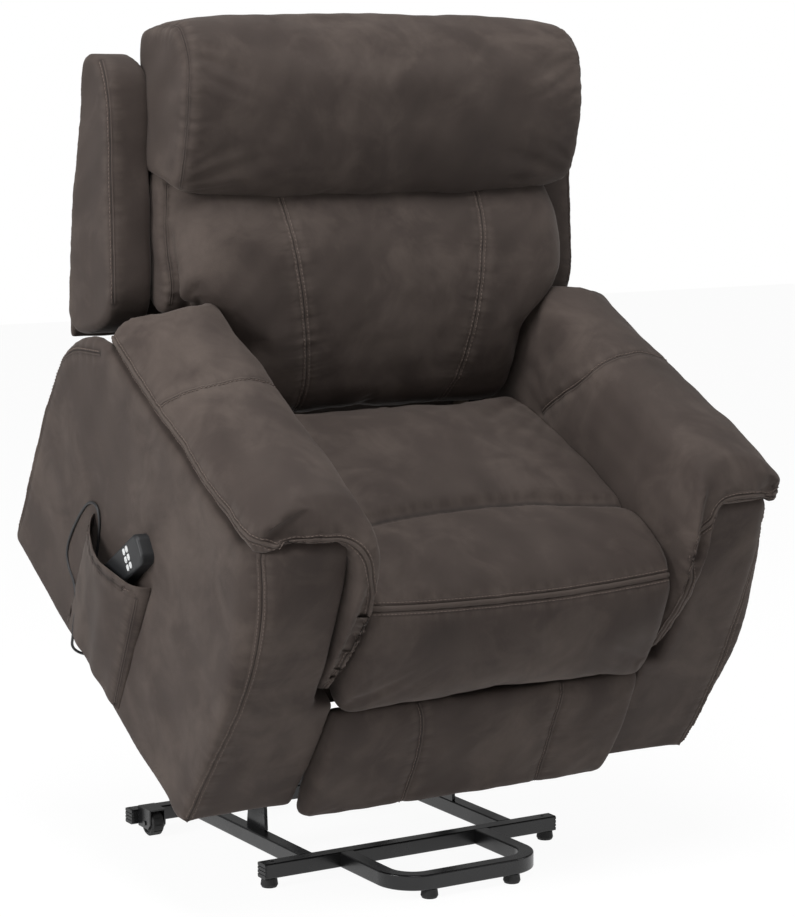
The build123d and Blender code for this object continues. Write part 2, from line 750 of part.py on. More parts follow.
with BuildPart() as rails:
    with BuildSketch(body_side(-plate_x)):
        with Locations(seat_front_rail_uw):
            Rectangle(seat_rail_width, 46)
        with Locations(seat_rear_rail_uw):
            Rectangle(seat_rail_width, 33)
    extrude(amount=2 * plate_x)
save(rails, "seat_rails")

wire = 3.0
wave_count = 9
with BuildPart() as springs:
    wave = (seat_rear_rail_uw[0] - seat_front_rail_uw[0]) / wave_count
    for x in (-210, -105, 0, 105, 210):
        with BuildSketch(body_top(spring_low)):
            for step in range(wave_count):
                middle = seat_front_rail_uw[0] + wave * (step + 0.5)
                reach = 24 if step % 2 else -24
                with Locations((x, middle - wave / 2), (x, middle + wave / 2)):
                    Rectangle(48 + wire, wire)
                with Locations((x + reach, middle)):
                    Rectangle(wire, wave + wire)
        extrude(amount=wire)
save(springs, "seat_springs")

seat_under_w = spring_low + wire + soft_gap
seat_top_w = 441.0
seat_rear_u = 503.0
with BuildPart() as seat:
    with BuildSketch(body_side(-seat_half)):
        with BuildLine():
            step_u = seat_front_rail_uw[0] - seat_rail_width / 2 - 5
            FilletPolyline((seat_rear_u, seat_under_w), (seat_rear_u, 387), (262, seat_top_w),
                           (-46, seat_top_w), (-40, 224), (step_u, 224), (step_u, seat_under_w),
                           radius=[3, 12, 120, 90, 24, 3, 3], close=True)
        make_face()
    extrude(amount=2 * seat_half)
save(seat, "seat_cushion")

# ---------------------------------------------------------------- back
rake = radians(back_rake)


def board_point(along, depth):
    """u, w of a point up the back board's front face and a depth behind it."""
    return (board_foot_uw[0] + along * sin(rake) + depth * cos(rake),
            board_foot_uw[1] + along * cos(rake) - depth * sin(rake))


arm_x = plate_x - link_gap - link_thickness
board_length = 485.0
board_step = 332.0
with BuildPart() as hinge_arms:
    for side in sides.values():
        for low, high in (((back_pivot_uw, 20), (board_point(95, 16), 16)),
                          ((board_point(95, 16), 16), (board_point(300, 15), 14))):
            with BuildSketch(body_side(span(side, arm_x, link_thickness))):
                rounded_plate([low, high])
            extrude(amount=link_thickness)
        with BuildSketch(body_side(span(side, arm_x, link_thickness))):
            with Locations(back_pivot_uw):
                Circle(small_tube_radius)
        extrude(amount=link_thickness, mode=Mode.SUBTRACT)
save(hinge_arms, "back_hinge_arms")

with BuildPart() as back_tube:
    with BuildSketch(body_side(-small_tube_half)):
        with Locations(back_pivot_uw):
            Circle(small_tube_radius)
            Circle(small_tube_radius - 2.5, mode=Mode.SUBTRACT)
    extrude(amount=2 * small_tube_half)
    with BuildSketch(body_side(back_motor_x - lever_thickness / 2)):
        lever_outline(back_pivot_uw, back_lever_height, back_half_turn, back_half_turn, small_tube_radius + 5)
        with Locations(back_pivot_uw):
            Circle(small_tube_radius - 1, mode=Mode.SUBTRACT)
    extrude(amount=lever_thickness)
save(back_tube, "back_torque_tube")

board_origin = body_point(0, *board_foot_uw)
board_up = (0, sin(rake) * cos(tip) - cos(rake) * sin(tip), sin(rake) * sin(tip) + cos(rake) * cos(tip))
board_plane = Plane(origin=board_origin, x_dir=(1, 0, 0), z_dir=(0, -board_up[2], board_up[1]))
with BuildPart() as back_board:
    with BuildSketch(board_plane):
        with BuildLine():
            neck = arm_x
            Polyline((-neck, 0), (neck, 0), (neck, board_step), (recess_half, board_step),
                     (recess_half, board_length), (-recess_half, board_length), (-recess_half, board_step),
                     (-neck, board_step), close=True)
        make_face()
    extrude(amount=-board_thickness)
save(back_board, "back_board")

shell_front_low = (652, 443)
shell_front_high = (803, 814)
shell_rear_low = (755, 370)
shell_rear_high = (908, 792)
shell_wall = 22.0
with BuildPart() as shell:
    with BuildSketch(body_side(-shell_half)):
        with BuildLine():
            FilletPolyline(shell_front_low, (620, 508), (727, 678), shell_front_high, (838, 828), (892, 816),
                           shell_rear_high, shell_rear_low, radius=[6, 14, 40, 14, 12, 10, 8, 8], close=True)
        make_face()
    extrude(amount=2 * shell_half)
    fillet(shell.edges().filter_by(lambda e: abs(e.center().X) > shell_half - 1), 9)
    with BuildSketch(body_side(-recess_half)):
        with BuildLine():
            lean = atan2(shell_rear_high[0] - shell_rear_low[0], shell_rear_high[1] - shell_rear_low[1])
            inner_low = (shell_rear_low[0] - shell_wall / cos(lean), shell_rear_low[1])
            reach = 560
            inner_high = (inner_low[0] + reach * sin(lean), inner_low[1] + reach * cos(lean))
            below = (inner_low[0] - 100 * sin(lean), inner_low[1] - 100 * cos(lean))
            Polyline(below, inner_high, (500, inner_high[1]), (500, below[1]), close=True)
        make_face()
    extrude(amount=2 * recess_half, mode=Mode.SUBTRACT)
save(shell, "back_shell")

lumbar_shoulder_w = 578.0
with BuildPart() as lumbar:
    with BuildSketch(body_side(-lumbar_half)):
        with BuildLine():
            foot = board_point(2, -soft_gap)
            head = board_point(352, -soft_gap)
            FilletPolyline(head, foot, (528, 366), (500, 402), (500, 505), (580, 704),
                           radius=[4, 4, 24, 40, 200, 40], close=True)
        make_face()
    extrude(amount=2 * lumbar_half)
    shoulder = lumbar_half - lumbar_neck_half
    for side in sides.values():
        with BuildSketch(body_side(span(side, lumbar_neck_half, shoulder))):
            with Locations((pad_rear_u + 8, lumbar_shoulder_w)):
                Rectangle(300, 300, align=(Align.MAX, Align.MAX))
            with Locations((pad_rear_u, lumbar_shoulder_w - 74)):
                Rectangle(300, 300, align=(Align.MIN, Align.MAX))
        extrude(amount=shoulder, mode=Mode.SUBTRACT)
save(lumbar, "lumbar_cushion")

with BuildPart() as headrest:
    with BuildSketch(body_side(-headrest_half)):
        with BuildLine():
            low_rear = board_point(366, -soft_gap)
            top_front = board_point(board_length + 3, -soft_gap)
            FilletPolyline(low_rear, top_front, (868, 806), (892, 870), (832, 947), (762, 944), (676, 868),
                           (642, 712), radius=[4, 4, 10, 45, 45, 60, 90, 40], close=True)
        make_face()
    extrude(amount=2 * headrest_half)
save(headrest, "headrest_cushion")


# ---------------------------------------------------------------- arms and rear panel
arm_front_curve = [(0, 0), (-9, 60), (-16, 128), (-23, 230), (-25, 330), (-20, 390)]
arm_top_w = 487.0
arm_top_rear_u = 560.0
arm_slope_uw = (652, 432)
side_inner_x = body_half - side_thickness
front_panel_x = 288.0
front_panel_depth = 30.0
panel_gap = 0.3
drape_low = 240.0
drape_thickness = 26.0
pad_under_w = arm_top_w + 1
pad_top_w = 574.0
drape_clear = 2.0
inner_rear_u = 680.0
rear_panel_thickness = 15.0

for name, side in sides.items():
    with BuildPart() as side_panel:
        with BuildSketch(body_side(span(side, side_inner_x, side_thickness))):
            with BuildLine():
                Spline(*arm_front_curve)
                Polyline(arm_front_curve[-1], (-16, 440), (-2, arm_top_w), (arm_top_rear_u, arm_top_w),
                         arm_slope_uw, (body_depth, 380), (body_depth, 12), (body_depth - 12, 0), (0, 0))
            make_face()
        extrude(amount=side_thickness)
    save(side_panel, f"arm_side_panel_{name}")

    front_width = side_inner_x - panel_gap - front_panel_x
    drape_room = inner_panel_x - front_panel_x
    with BuildPart() as front_panel:
        with BuildSketch(body_side(span(side, front_panel_x, front_width))):
            with BuildLine():
                Spline(*arm_front_curve)
                Polyline(arm_front_curve[-1], (-16, 440), (-2, arm_top_w), (front_panel_depth, arm_top_w),
                         (front_panel_depth, 0), (0, 0))
            make_face()
        extrude(amount=front_width)
        with BuildSketch(body_side(span(side, front_panel_x, drape_room))):
            with Locations((0, drape_low - drape_clear)):
                Rectangle(100, 400, align=(Align.CENTER, Align.MIN))
        extrude(amount=drape_room, mode=Mode.SUBTRACT)
    save(front_panel, f"arm_front_panel_{name}")

    with BuildPart() as pad:
        with BuildSketch(body_side(span(side, drape_x, body_half + 3 - drape_x))):
            with BuildLine():
                FilletPolyline((-16, pad_under_w), (-43, 516), (-12, 558), (70, pad_top_w),
                               (450, pad_top_w), (560, 556), (pad_rear_u, pad_under_w),
                               radius=[3, 14, 40, 80, 120, 40, 3], close=True)
            make_face()
        extrude(amount=body_half + 3 - drape_x)
        with BuildSketch(body_top(arm_top_w - 1)):
            with BuildLine():
                outer = side * (body_half + 3)
                FilletPolyline((side * drape_x, -60), (outer, -56), (outer, pad_rear_u + 5),
                               (side * drape_x, pad_rear_u + 5), radius=[60, 75, 12, 12], close=True)
            make_face()
        extrude(amount=120, mode=Mode.INTERSECT)
        with BuildSketch(body_side(span(side, drape_x, drape_thickness))):
            with BuildLine():
                FilletPolyline((-13, drape_low), (-44, 330), (-58, 425), (-44, 474), (-14, 500),
                               (pad_rear_u, 500), (pad_rear_u, drape_low),
                               radius=[2, 120, 40, 20, 2, 2, 2], close=True)
            make_face()
        extrude(amount=drape_thickness)
    save(pad, f"arm_pad_{name}")

with BuildPart() as inner_panels:
    for side in sides.values():
        with BuildSketch(body_side(span(side, inner_panel_x, inner_panel_thickness))):
            with BuildLine():
                start = front_panel_depth + panel_gap
                Polyline((start, 15), (start, arm_top_w), (arm_top_rear_u, arm_top_w), arm_slope_uw,
                         (inner_rear_u, 402), (inner_rear_u, 15), close=True)
            make_face()
        extrude(amount=inner_panel_thickness)
save(inner_panels, "arm_inner_panels")

inner_outer_x = inner_panel_x + inner_panel_thickness
with BuildPart() as arm_rears:
    for side in sides.values():
        width = side_inner_x - inner_outer_x - 2 * panel_gap
        with BuildSketch(body_side(span(side, inner_outer_x + panel_gap, width))):
            with Locations((inner_rear_u + panel_gap + rear_panel_thickness / 2, 190)):
                Rectangle(rear_panel_thickness, 380)
        extrude(amount=width)
save(arm_rears, "arm_rear_panels")

with BuildPart() as rear_panel:
    with BuildSketch(body_side(-inner_outer_x)):
        with Locations((inner_rear_u + panel_gap + rear_panel_thickness / 2, 165)):
            Rectangle(rear_panel_thickness, 210)
    extrude(amount=2 * inner_outer_x)
save(rear_panel, "rear_panel")

# ---------------------------------------------------------------- side pocket, handset and cord
pocket_bottom_bulge = 8.0
pocket_flat_u = (280.0, 350.0)
pocket_hem = [(467, 234), (440, 222), (397, 221), (348, 232), (309, 243), (250, 258)]


def pocket_outline(bulge, inset_front, inset_rear):
    """Outline of the pocket at one height as x, u points against the side panel."""
    return [(-body_half, pocket_rear_u - inset_rear), (-body_half - bulge, pocket_flat_u[1] - inset_rear / 6),
            (-body_half - bulge, pocket_flat_u[0] + inset_front / 2),
            (-body_half, pocket_front_u + inset_front)]


with BuildPart() as pocket:
    for w, bulge in ((pocket_bottom_w, pocket_bottom_bulge), (pocket_top_w, pocket_bulge)):
        with BuildSketch(body_top(w)):
            with BuildLine():
                Polyline(*pocket_outline(bulge, 0, 0), close=True)
            make_face()
    loft()
    rise = (pocket_bulge - pocket_bottom_bulge) / (pocket_top_w - pocket_bottom_w)
    low_bulge = pocket_bottom_bulge + rise * pocket_wall
    for w, bulge, rear in ((pocket_bottom_w + pocket_wall, low_bulge, 30), (pocket_top_w, pocket_bulge, 8)):
        with BuildSketch(body_top(w)):
            with BuildLine():
                Polyline(*pocket_outline(bulge - pocket_wall, pocket_wall * 1.6, rear), close=True)
            make_face()
    loft(mode=Mode.SUBTRACT)
    with BuildSketch(body_side(-body_half - pocket_bulge - 1)):
        with BuildLine():
            Polyline(*pocket_hem, (pocket_front_u, 300), (pocket_rear_u, 300), close=True)
        make_face()
    extrude(amount=pocket_bulge + 2, mode=Mode.SUBTRACT)
save(pocket, "side_pocket")

handset_gap = 0.5
button_travel = 1.0
button_depth = 3.0
button_proud = 1.5
button_clearance = 0.15
button_slot_depth = button_depth + button_travel + 0.5
button_size = (11.0, 7.0)
button_step = 13.0
button_rows = (40.0, 51.0)
handset_back_x = -body_half - handset_gap
handset_front_x = handset_back_x - handset_thickness
handset_cos = cos(radians(handset_lean))
handset_sin = sin(radians(handset_lean))


def handset_uw(down, across):
    """u, w of a point on the handset's face, measured from the middle of its upper end."""
    return (handset_end_uw[0] + down * handset_sin + across * handset_cos,
            handset_end_uw[1] - down * handset_cos + across * handset_sin)


button_places = []
for row in button_rows:
    for across in (-button_step, 0, button_step):
        button_places.append(handset_uw(row, across))

with BuildPart() as handset:
    with BuildSketch(body_side(handset_front_x)):
        with Locations(Location((*handset_uw(handset_length / 2, 0), 0), (0, 0, handset_lean))):
            RectangleRounded(handset_width, handset_length, 14)
    extrude(amount=handset_thickness)
    fillet(handset.faces().sort_by(Axis.X)[0].edges(), 5)
    with BuildSketch(body_side(handset_front_x - 1)):
        for place in button_places:
            with Locations(Location((*place, 0), (0, 0, handset_lean))):
                SlotOverall(*button_size)
    extrude(amount=button_slot_depth + 1, mode=Mode.SUBTRACT)
save(handset, "handset")

for number, place in enumerate(button_places, 1):
    with BuildPart() as button:
        with BuildSketch(body_side(handset_front_x - button_proud)):
            with Locations(Location((*place, 0), (0, 0, handset_lean))):
                SlotOverall(button_size[0] - 2 * button_clearance, button_size[1] - 2 * button_clearance)
        extrude(amount=button_depth + button_proud)
        chamfer(button.faces().sort_by(Axis.X)[0].edges(), 0.6)
    save(button, f"handset_button_{number}")

relief_x = handset_back_x - handset_thickness / 2
relief_length = 20.0
relief_radius = 5.0
relief_taper = 5.0
relief_start = body_point(relief_x, *handset_uw(handset_length, 0))
relief_end = body_point(relief_x, *handset_uw(handset_length + relief_length, 0))
relief_dir = Vector(*relief_end) - Vector(*relief_start)
with BuildPart() as relief:
    with BuildSketch(Plane(origin=relief_start, z_dir=relief_dir)):
        Circle(relief_radius)
    extrude(amount=relief_length, taper=relief_taper)
save(relief, "cord_relief")

gland_x = -395.0
gland_u = 420.0
gland_w = 14.0
power_box_w = (22.0, 72.0)
power_box_u = (380.0, 520.0)
power_box_x = -430.0
with BuildPart() as power_box:
    with BuildSketch(body_side(power_box_x)):
        with Locations(((power_box_u[0] + power_box_u[1]) / 2, (power_box_w[0] + power_box_w[1]) / 2)):
            RectangleRounded(power_box_u[1] - power_box_u[0], power_box_w[1] - power_box_w[0], 6)
    extrude(amount=-inner_outer_x - panel_gap - power_box_x)
    with BuildSketch(body_top(gland_w)):
        with Locations((gland_x, gland_u)):
            Circle(7)
    extrude(amount=power_box_w[0] - gland_w + 1)
    with BuildSketch(body_front(power_box_u[1])):
        with Locations((-380, (power_box_w[0] + power_box_w[1]) / 2)):
            SlotOverall(17, 9)
    extrude(amount=12, mode=Mode.SUBTRACT)
save(power_box, "power_box")

cord_route = [
    (relief_x, *handset_uw(handset_length + relief_length, 0)),
    (relief_x, *handset_uw(handset_length + relief_length + 27, 0)),
    (-477.0, 398, 140),
    (-473.2, 422, 161),
    (-472.0, 431, 198),
    (-472.6, 443, 238),
    (-473.4, 463, 253),
    (-473.4, 488, 240),
    (-472.6, 505, 205),
    (-472.4, 519, 155),
    (-472.4, 521, 118),
    (-472.8, 503, 98),
    (-474.2, 474, 92),
    (-475.6, 453, 82),
    (-476.0, 441, 62),
    (-476.0, 437, 36),
    (-475.8, 430, 12),
    (-474.4, 427, -12),
    (-450.0, 422, -26),
    (-418.0, 421, -26),
    (gland_x, gland_u, -10),
    (gland_x, gland_u, gland_w),
]


def bend_radii(points):
    """Radius of each bend, using 0.45 of the shorter run beside it."""
    radii = []
    for before, corner, after in zip(points, points[1:], points[2:]):
        run_in = corner - before
        run_out = after - corner
        half_turn = radians(run_in.get_angle(run_out)) / 2
        radii.append(0.45 * min(run_in.length, run_out.length) / tan(half_turn))
    return radii


cord_points = [Vector(*body_point(*point)) for point in cord_route]
cord_radii = bend_radii(cord_points)
with BuildPart() as cord:
    with BuildLine():
        cord_path = FilletPolyline(*cord_points, radius=cord_radii)
    with BuildSketch(Plane(origin=cord_path @ 0, z_dir=cord_path % 0)):
        Circle(cord_diameter / 2)
    sweep()
save(cord, "handset_cord")
print("cord bend radii, mm:", [round(radius, 1) for radius in cord_radii])
print("cord length, mm:", round(cord_path.length, 1))
print("cord volume over section times length:",
      round(cord.part.volume / (pi * (cord_diameter / 2) ** 2 * cord_path.length), 4))
print("joint travel, degrees: lift", round(degrees(rear_sweep), 2), "body", round(-lift_tilt, 2),
      "front links", round(degrees(front_sweep), 2), "footrest swing", round(degrees(foot_swing_turn), 2),
      "knee", round(degrees(foot_extension_turn), 2), "board", round(degrees(foot_board_joint_turn), 2))
print("carriage travel, mm: lift", round(lift_travel, 2), "footrest", round(foot_travel, 2),
      "back", round(back_slide, 2))
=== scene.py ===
# %% [markdown]
# # A lift recliner, dressed over its mechanical frame
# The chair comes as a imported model: a steel lifting base, linkages, motors and plain solids where the
# padding goes. This lesson keeps every mechanical piece where it is and gives it a finish. It swaps each
# plain soft solid for upholstery: crowned cushions with seams, puckers, stitches and a mottled suede cover.

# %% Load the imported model
import json
import math

import bmesh
import bpy
import numpy as np
from mathutils import Matrix, Vector
from mathutils.bvhtree import BVHTree


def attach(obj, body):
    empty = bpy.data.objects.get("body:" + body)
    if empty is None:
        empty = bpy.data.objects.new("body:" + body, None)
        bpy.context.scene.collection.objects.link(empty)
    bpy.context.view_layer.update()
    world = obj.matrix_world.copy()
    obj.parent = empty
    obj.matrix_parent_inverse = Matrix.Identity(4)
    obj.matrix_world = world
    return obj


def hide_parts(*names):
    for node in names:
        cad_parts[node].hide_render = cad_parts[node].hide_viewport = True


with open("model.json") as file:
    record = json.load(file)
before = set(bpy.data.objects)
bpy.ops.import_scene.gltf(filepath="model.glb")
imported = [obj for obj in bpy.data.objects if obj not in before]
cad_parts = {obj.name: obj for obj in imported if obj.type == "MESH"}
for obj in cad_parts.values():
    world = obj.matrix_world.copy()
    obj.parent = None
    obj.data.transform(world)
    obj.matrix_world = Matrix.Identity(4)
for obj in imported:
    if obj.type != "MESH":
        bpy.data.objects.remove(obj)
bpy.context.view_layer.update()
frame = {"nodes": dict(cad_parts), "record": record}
nodes = frame["nodes"]

# %% [markdown]
# The seat, arms and back are drawn level, and the lift then tips them forward by thirty degrees. One matrix
# turns level points (x across, u from front to back, w up, in millimetres) into the tipped pose that the
# model is stored in.

# %% The level frame of the chair body
LIFT_TILT = math.radians(30)
ARM_CORNER = Vector((0, -0.154, 0.155))
MM = 0.001
tipped = Matrix.Translation(ARM_CORNER) @ Matrix.Rotation(LIFT_TILT, 4, "X") @ Matrix.Scale(MM, 4)


def chair(x, u, w):
    """A point of the level chair body, in millimetres, as a point of the tipped model, in metres."""
    return tipped @ Vector((x, u, w))


print("front lower corner of the arms:", chair(469, 0, 0))

# %% [markdown]
# ## Camera, light and floor
# The view is a long lens from the sitter's right and a little above the seat, which keeps the arms nearly
# parallel. Light is a dim even sky with a large soft lamp above the front, a second one at the sitter's
# right and a faint one at the left, so that creases read by gentle shade alone. The floor is pale and shows
# white to the camera and in reflections.

# %% Camera
def placed(name, data):
    """A new object that is part of the scene."""
    made = bpy.data.objects.new(name, data)
    bpy.context.scene.collection.objects.link(made)
    return made


AZIMUTH = math.radians(-31.272)
ELEVATION = math.radians(8.0984)
camera_data = bpy.data.cameras.new("studio_camera")
camera_data.lens = 109.13
camera_data.sensor_width = 36
camera_data.clip_end = 50
camera = placed("studio_camera", camera_data)
camera.location = (-2.29851, -3.79029, 1.28840)
look = Vector((-math.sin(AZIMUTH) * math.cos(ELEVATION), math.cos(AZIMUTH) * math.cos(ELEVATION),
               -math.sin(ELEVATION)))
camera.rotation_euler = look.to_track_quat("-Z", "Y").to_euler()
bpy.context.scene.camera = camera
bpy.context.scene.view_settings.view_transform = "Standard"
print("camera looks along", tuple(round(v, 3) for v in look))

# %% [markdown]
# Materials are node graphs, and writing them as formulas keeps them readable. A small class wraps a socket,
# so that sums and products add their own nodes, and one method adds any other node with its settings.

# %% A class for shader formulas
class Value:
    """A socket of a material that takes arithmetic."""

    def __init__(self, finish, socket):
        self.finish = finish
        self.socket = socket

    def math(self, operation, first, second):
        return self.finish.node("ShaderNodeMath", {"operation": operation}, {0: first, 1: second})

    def __add__(self, other):
        return self.math("ADD", self, other)

    def __mul__(self, other):
        return self.math("MULTIPLY", self, other)

    def clipped(self, low, high):
        """The value spread from low..high to 0..1 and held there."""
        return self.finish.node("ShaderNodeMapRange", {"clamp": True},
                                {"Value": self, "From Min": low, "From Max": high})


class Finish:
    """A material whose nodes are added by formulas."""

    def __init__(self, name):
        self.material = bpy.data.materials.new(name)
        self.material.use_nodes = True
        self.tree = self.material.node_tree
        self.tree.nodes.clear()
        self.place = self.node("ShaderNodeTexCoord", {}, {}, "Object")

    def node(self, kind, settings, inputs, output=0):
        made = self.tree.nodes.new(kind)
        for key, setting in settings.items():
            if key == "stops":
                for number, (position, colour) in enumerate(setting):
                    stops = made.color_ramp.elements
                    stop = stops[number] if number < len(stops) else stops.new(position)
                    stop.position = position
                    stop.color = (*colour, 1)
            else:
                setattr(made, key, setting)
        for key, value in inputs.items():
            if isinstance(value, Value):
                self.tree.links.new(value.socket, made.inputs[key])
            else:
                made.inputs[key].default_value = value
        return Value(self, made.outputs[output])

    def noise(self, scale, detail=3.0, roughness=0.5, distortion=0.0):
        return self.node("ShaderNodeTexNoise", {}, {"Vector": self.place, "Scale": scale, "Detail": detail,
                                                    "Roughness": roughness, "Distortion": distortion})

    def blend(self, share, first, second):
        """A colour between two, by a share from 0 to 1."""
        return self.node("ShaderNodeMix", {"data_type": "RGBA"}, {0: share, 6: first, 7: second}, 2)

    def shaded(self, colour, value):
        """A colour made lighter or darker by a value."""
        return self.node("ShaderNodeVectorMath", {"operation": "SCALE"}, {0: colour, 3: value})

    def bump(self, height, strength, distance, under=None):
        inputs = {"Height": height, "Strength": strength, "Distance": distance}
        if under is not None:
            inputs["Normal"] = under
        return self.node("ShaderNodeBump", {}, inputs)

    def surface(self, **sockets):
        names = {key.replace("_", " ").title().replace("Ior", "IOR"): sockets[key] for key in sockets}
        return self.shown(self.node("ShaderNodeBsdfPrincipled", {}, names))

    def shown(self, shader):
        output = self.tree.nodes.new("ShaderNodeOutputMaterial")
        self.tree.links.new(shader.socket, output.inputs["Surface"])
        return self.material


def rgba(red, green, blue):
    """A colour written in display values of 0 to 255, as the linear values a shader takes."""
    return (*(((v / 255 + 0.055) / 1.055) ** 2.4 for v in (red, green, blue)), 1.0)


# %% Floor and sky
def light_path(finish, *rays):
    """1 for a ray of one of the kinds named, and 0 for any other."""
    total = finish.node("ShaderNodeLightPath", {}, {}, rays[0])
    for ray in rays[1:]:
        total = total + finish.node("ShaderNodeLightPath", {}, {}, ray)
    return total


FLOOR_HALF = 9.0
floor_mesh = bpy.data.meshes.new("studio_floor")
floor_mesh.from_pydata([(x * FLOOR_HALF, y * FLOOR_HALF, 0) for x, y in ((-1, -1), (1, -1), (1, 1), (-1, 1))],
                       [], [(0, 1, 2, 3)])
floor = placed("studio_floor", floor_mesh)
pale = Finish("pale_floor")
matt = pale.node("ShaderNodeBsdfDiffuse", {}, {"Color": (0.80, 0.80, 0.80, 1.0)})
glow = pale.node("ShaderNodeEmission", {}, {"Color": (1.0, 1.0, 1.0, 1.0), "Strength": 1.05})
shown_white = light_path(pale, "Is Camera Ray", "Is Glossy Ray") * 0.9
seen = pale.node("ShaderNodeMixShader", {}, {0: shown_white, 1: matt, 2: glow})
floor_mesh.materials.append(pale.shown(seen))

world = bpy.data.worlds.new("studio_sky")
bpy.context.scene.world = world
world.use_nodes = True
sky = world.node_tree
sky.nodes.clear()
dim = sky.nodes.new("ShaderNodeBackground")
dim.inputs["Strength"].default_value = 0.24
white = sky.nodes.new("ShaderNodeBackground")
white.inputs["Strength"].default_value = 1.0
for background in (dim, white):
    background.inputs["Color"].default_value = (1, 1, 1, 1)
ray = sky.nodes.new("ShaderNodeLightPath")
chosen = sky.nodes.new("ShaderNodeMixShader")
sky_output = sky.nodes.new("ShaderNodeOutputWorld")
sky.links.new(ray.outputs["Is Camera Ray"], chosen.inputs[0])
sky.links.new(dim.outputs[0], chosen.inputs[1])
sky.links.new(white.outputs[0], chosen.inputs[2])
sky.links.new(chosen.outputs[0], sky_output.inputs["Surface"])


def lamp(name, place, aim, size, watts):
    data = bpy.data.lights.new(name, "AREA")
    data.shape = "DISK"
    data.size = size
    data.energy = watts
    made = placed(name, data)
    made.location = place
    made.rotation_euler = (Vector(aim) - Vector(place)).to_track_quat("-Z", "Y").to_euler()


lamp("softbox_above", (-0.7, -1.3, 4.1), (0, 0, 0.6), 2.0, 112)
lamp("softbox_left", (-3.7, -0.2, 1.9), (0, 0, 0.7), 1.7, 82)
lamp("softbox_right", (3.2, -1.4, 2.6), (0, 0, 0.6), 1.8, 20)

# %% [markdown]
# ## The handset cord
# A thin limp cord leaves the handset's lower end, lies in the pocket, climbs over the hem, hangs down the
# side and tucks under the arm into the power box. It is one smooth spline led by the same points as the
# model's tube, so it bends like soft cable and not like wire.

# %% Cord
CORD_DIAMETER = 4.5 * MM
CORD_POINTS = [
    (-481.5, 358.07, 175.06), (-481.5, 371.16, 151.45), (-477.0, 398, 140), (-473.2, 422, 161),
    (-472.0, 431, 198), (-472.6, 443, 238), (-473.4, 463, 253), (-473.4, 488, 240), (-472.6, 505, 205),
    (-472.4, 519, 155), (-472.4, 521, 118), (-472.8, 503, 98), (-474.2, 474, 92), (-475.6, 453, 82),
    (-476.0, 441, 62), (-476.0, 437, 36), (-475.8, 430, 12), (-474.4, 427, -12), (-450.0, 422, -26),
    (-418.0, 421, -26), (-395.0, 420, -10), (-395.0, 420, 14),
]
cord_curve = bpy.data.curves.new("handset_cord_line", "CURVE")
cord_curve.dimensions = "3D"
cord_curve.bevel_depth = CORD_DIAMETER / 2
cord_curve.bevel_resolution = 4
cord_curve.resolution_u = 10
cord_line = cord_curve.splines.new("NURBS")
cord_line.points.add(len(CORD_POINTS) - 1)
for spot, level_point in zip(cord_line.points, CORD_POINTS):
    spot.co = (*chair(*level_point), 1)
cord_line.order_u = 3
cord_line.use_endpoint_u = True
cord = placed("handset_lead", cord_curve)
jacket = Finish("cord_jacket")
cord_curve.materials.append(jacket.surface(
    base_color=jacket.blend(jacket.noise(60, 2), (0.014, 0.014, 0.015, 1), (0.024, 0.024, 0.026, 1)),
    roughness=jacket.noise(300, 2) * 0.2 + 0.42))
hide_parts("handset_cord")
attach(cord, "chair")

# %% [markdown]
# ## The cover
# The cover is a brown-grey microfibre, printed and brushed to look like worn suede. Up close it is a fine
# dull nap. From a step back it is cloudy, with paler patches where the nap lies down, paler rubbed rims
# beside the seams and painted shade in the seam creases. The cloud comes from two noises of different size.
# The rims and the painted crease shade come from one value per point that is stored on the mesh when the
# seams are
# pressed in: above zero it is rubbed pale, and below zero it is painted crease shade.

# %% Upholstery finish
SUEDE_DARK = rgba(52, 44, 40)
SUEDE_MAIN = rgba(62, 53, 49)
SUEDE_PALE = rgba(90, 80, 74)
# the colour of the painted shade in the seam creases
SUEDE_PAINTED_CREASE_SHADE = rgba(26, 22, 20)


def suede_finish(name):
    """Mottled, brushed microfibre with a fine nap, rubbed pale beside the seams and with painted shade in
    their creases.
    """
    suede = Finish(name)
    patches = suede.noise(4.2, 5, 0.62, 0.5)
    blotches = suede.noise(13.02, 4, 0.6, 0.8)
    mottle = (patches * 0.62 + blotches * 0.38).clipped(0.28, 0.72)
    colour = suede.node("ShaderNodeValToRGB", {"stops": [
        (0.0, SUEDE_DARK[:3]), (0.45, SUEDE_MAIN[:3]), (1.0, SUEDE_PALE[:3])]}, {"Fac": mottle})
    fibre = suede.noise(900, 3, 0.7)
    rub_and_crease_shade = suede.node("ShaderNodeAttribute", {"attribute_name": "rub_and_crease_shade"}, {}, "Fac")
    colour = suede.blend(rub_and_crease_shade.clipped(0.0, 1.0) * 0.55, colour, SUEDE_PALE)
    # painted shade: where the stored value is below zero, the seam creases are darkened towards the crease
    # colour
    colour = suede.blend((rub_and_crease_shade * -1.0).clipped(0.0, 1.0) * 0.75, colour, SUEDE_PAINTED_CREASE_SHADE)
    colour = suede.shaded(colour, fibre * 0.34 + 0.83)
    grain = suede.node("ShaderNodeTexVoronoi", {"feature": "DISTANCE_TO_EDGE"},
                       {"Vector": suede.place, "Scale": 340.0})
    creases = suede.bump(grain.clipped(0.0, 0.22), 0.10, 0.0006)
    nap = suede.bump(fibre, 0.16, 0.0008, creases)
    return suede.surface(base_color=colour, roughness=mottle * 0.10 + 0.76, normal=nap, sheen_weight=0.12,
                         sheen_roughness=0.45, sheen_tint=(0.75, 0.68, 0.64, 1.0), specular_ior_level=0.28)


suede = suede_finish("suede_cover")
thread = Finish("seam_thread")
thread_material = thread.surface(
    base_color=thread.blend(thread.noise(700, 2), rgba(92, 79, 72), rgba(118, 103, 95)),
    roughness=thread.noise(400, 2) * 0.2 + 0.6)

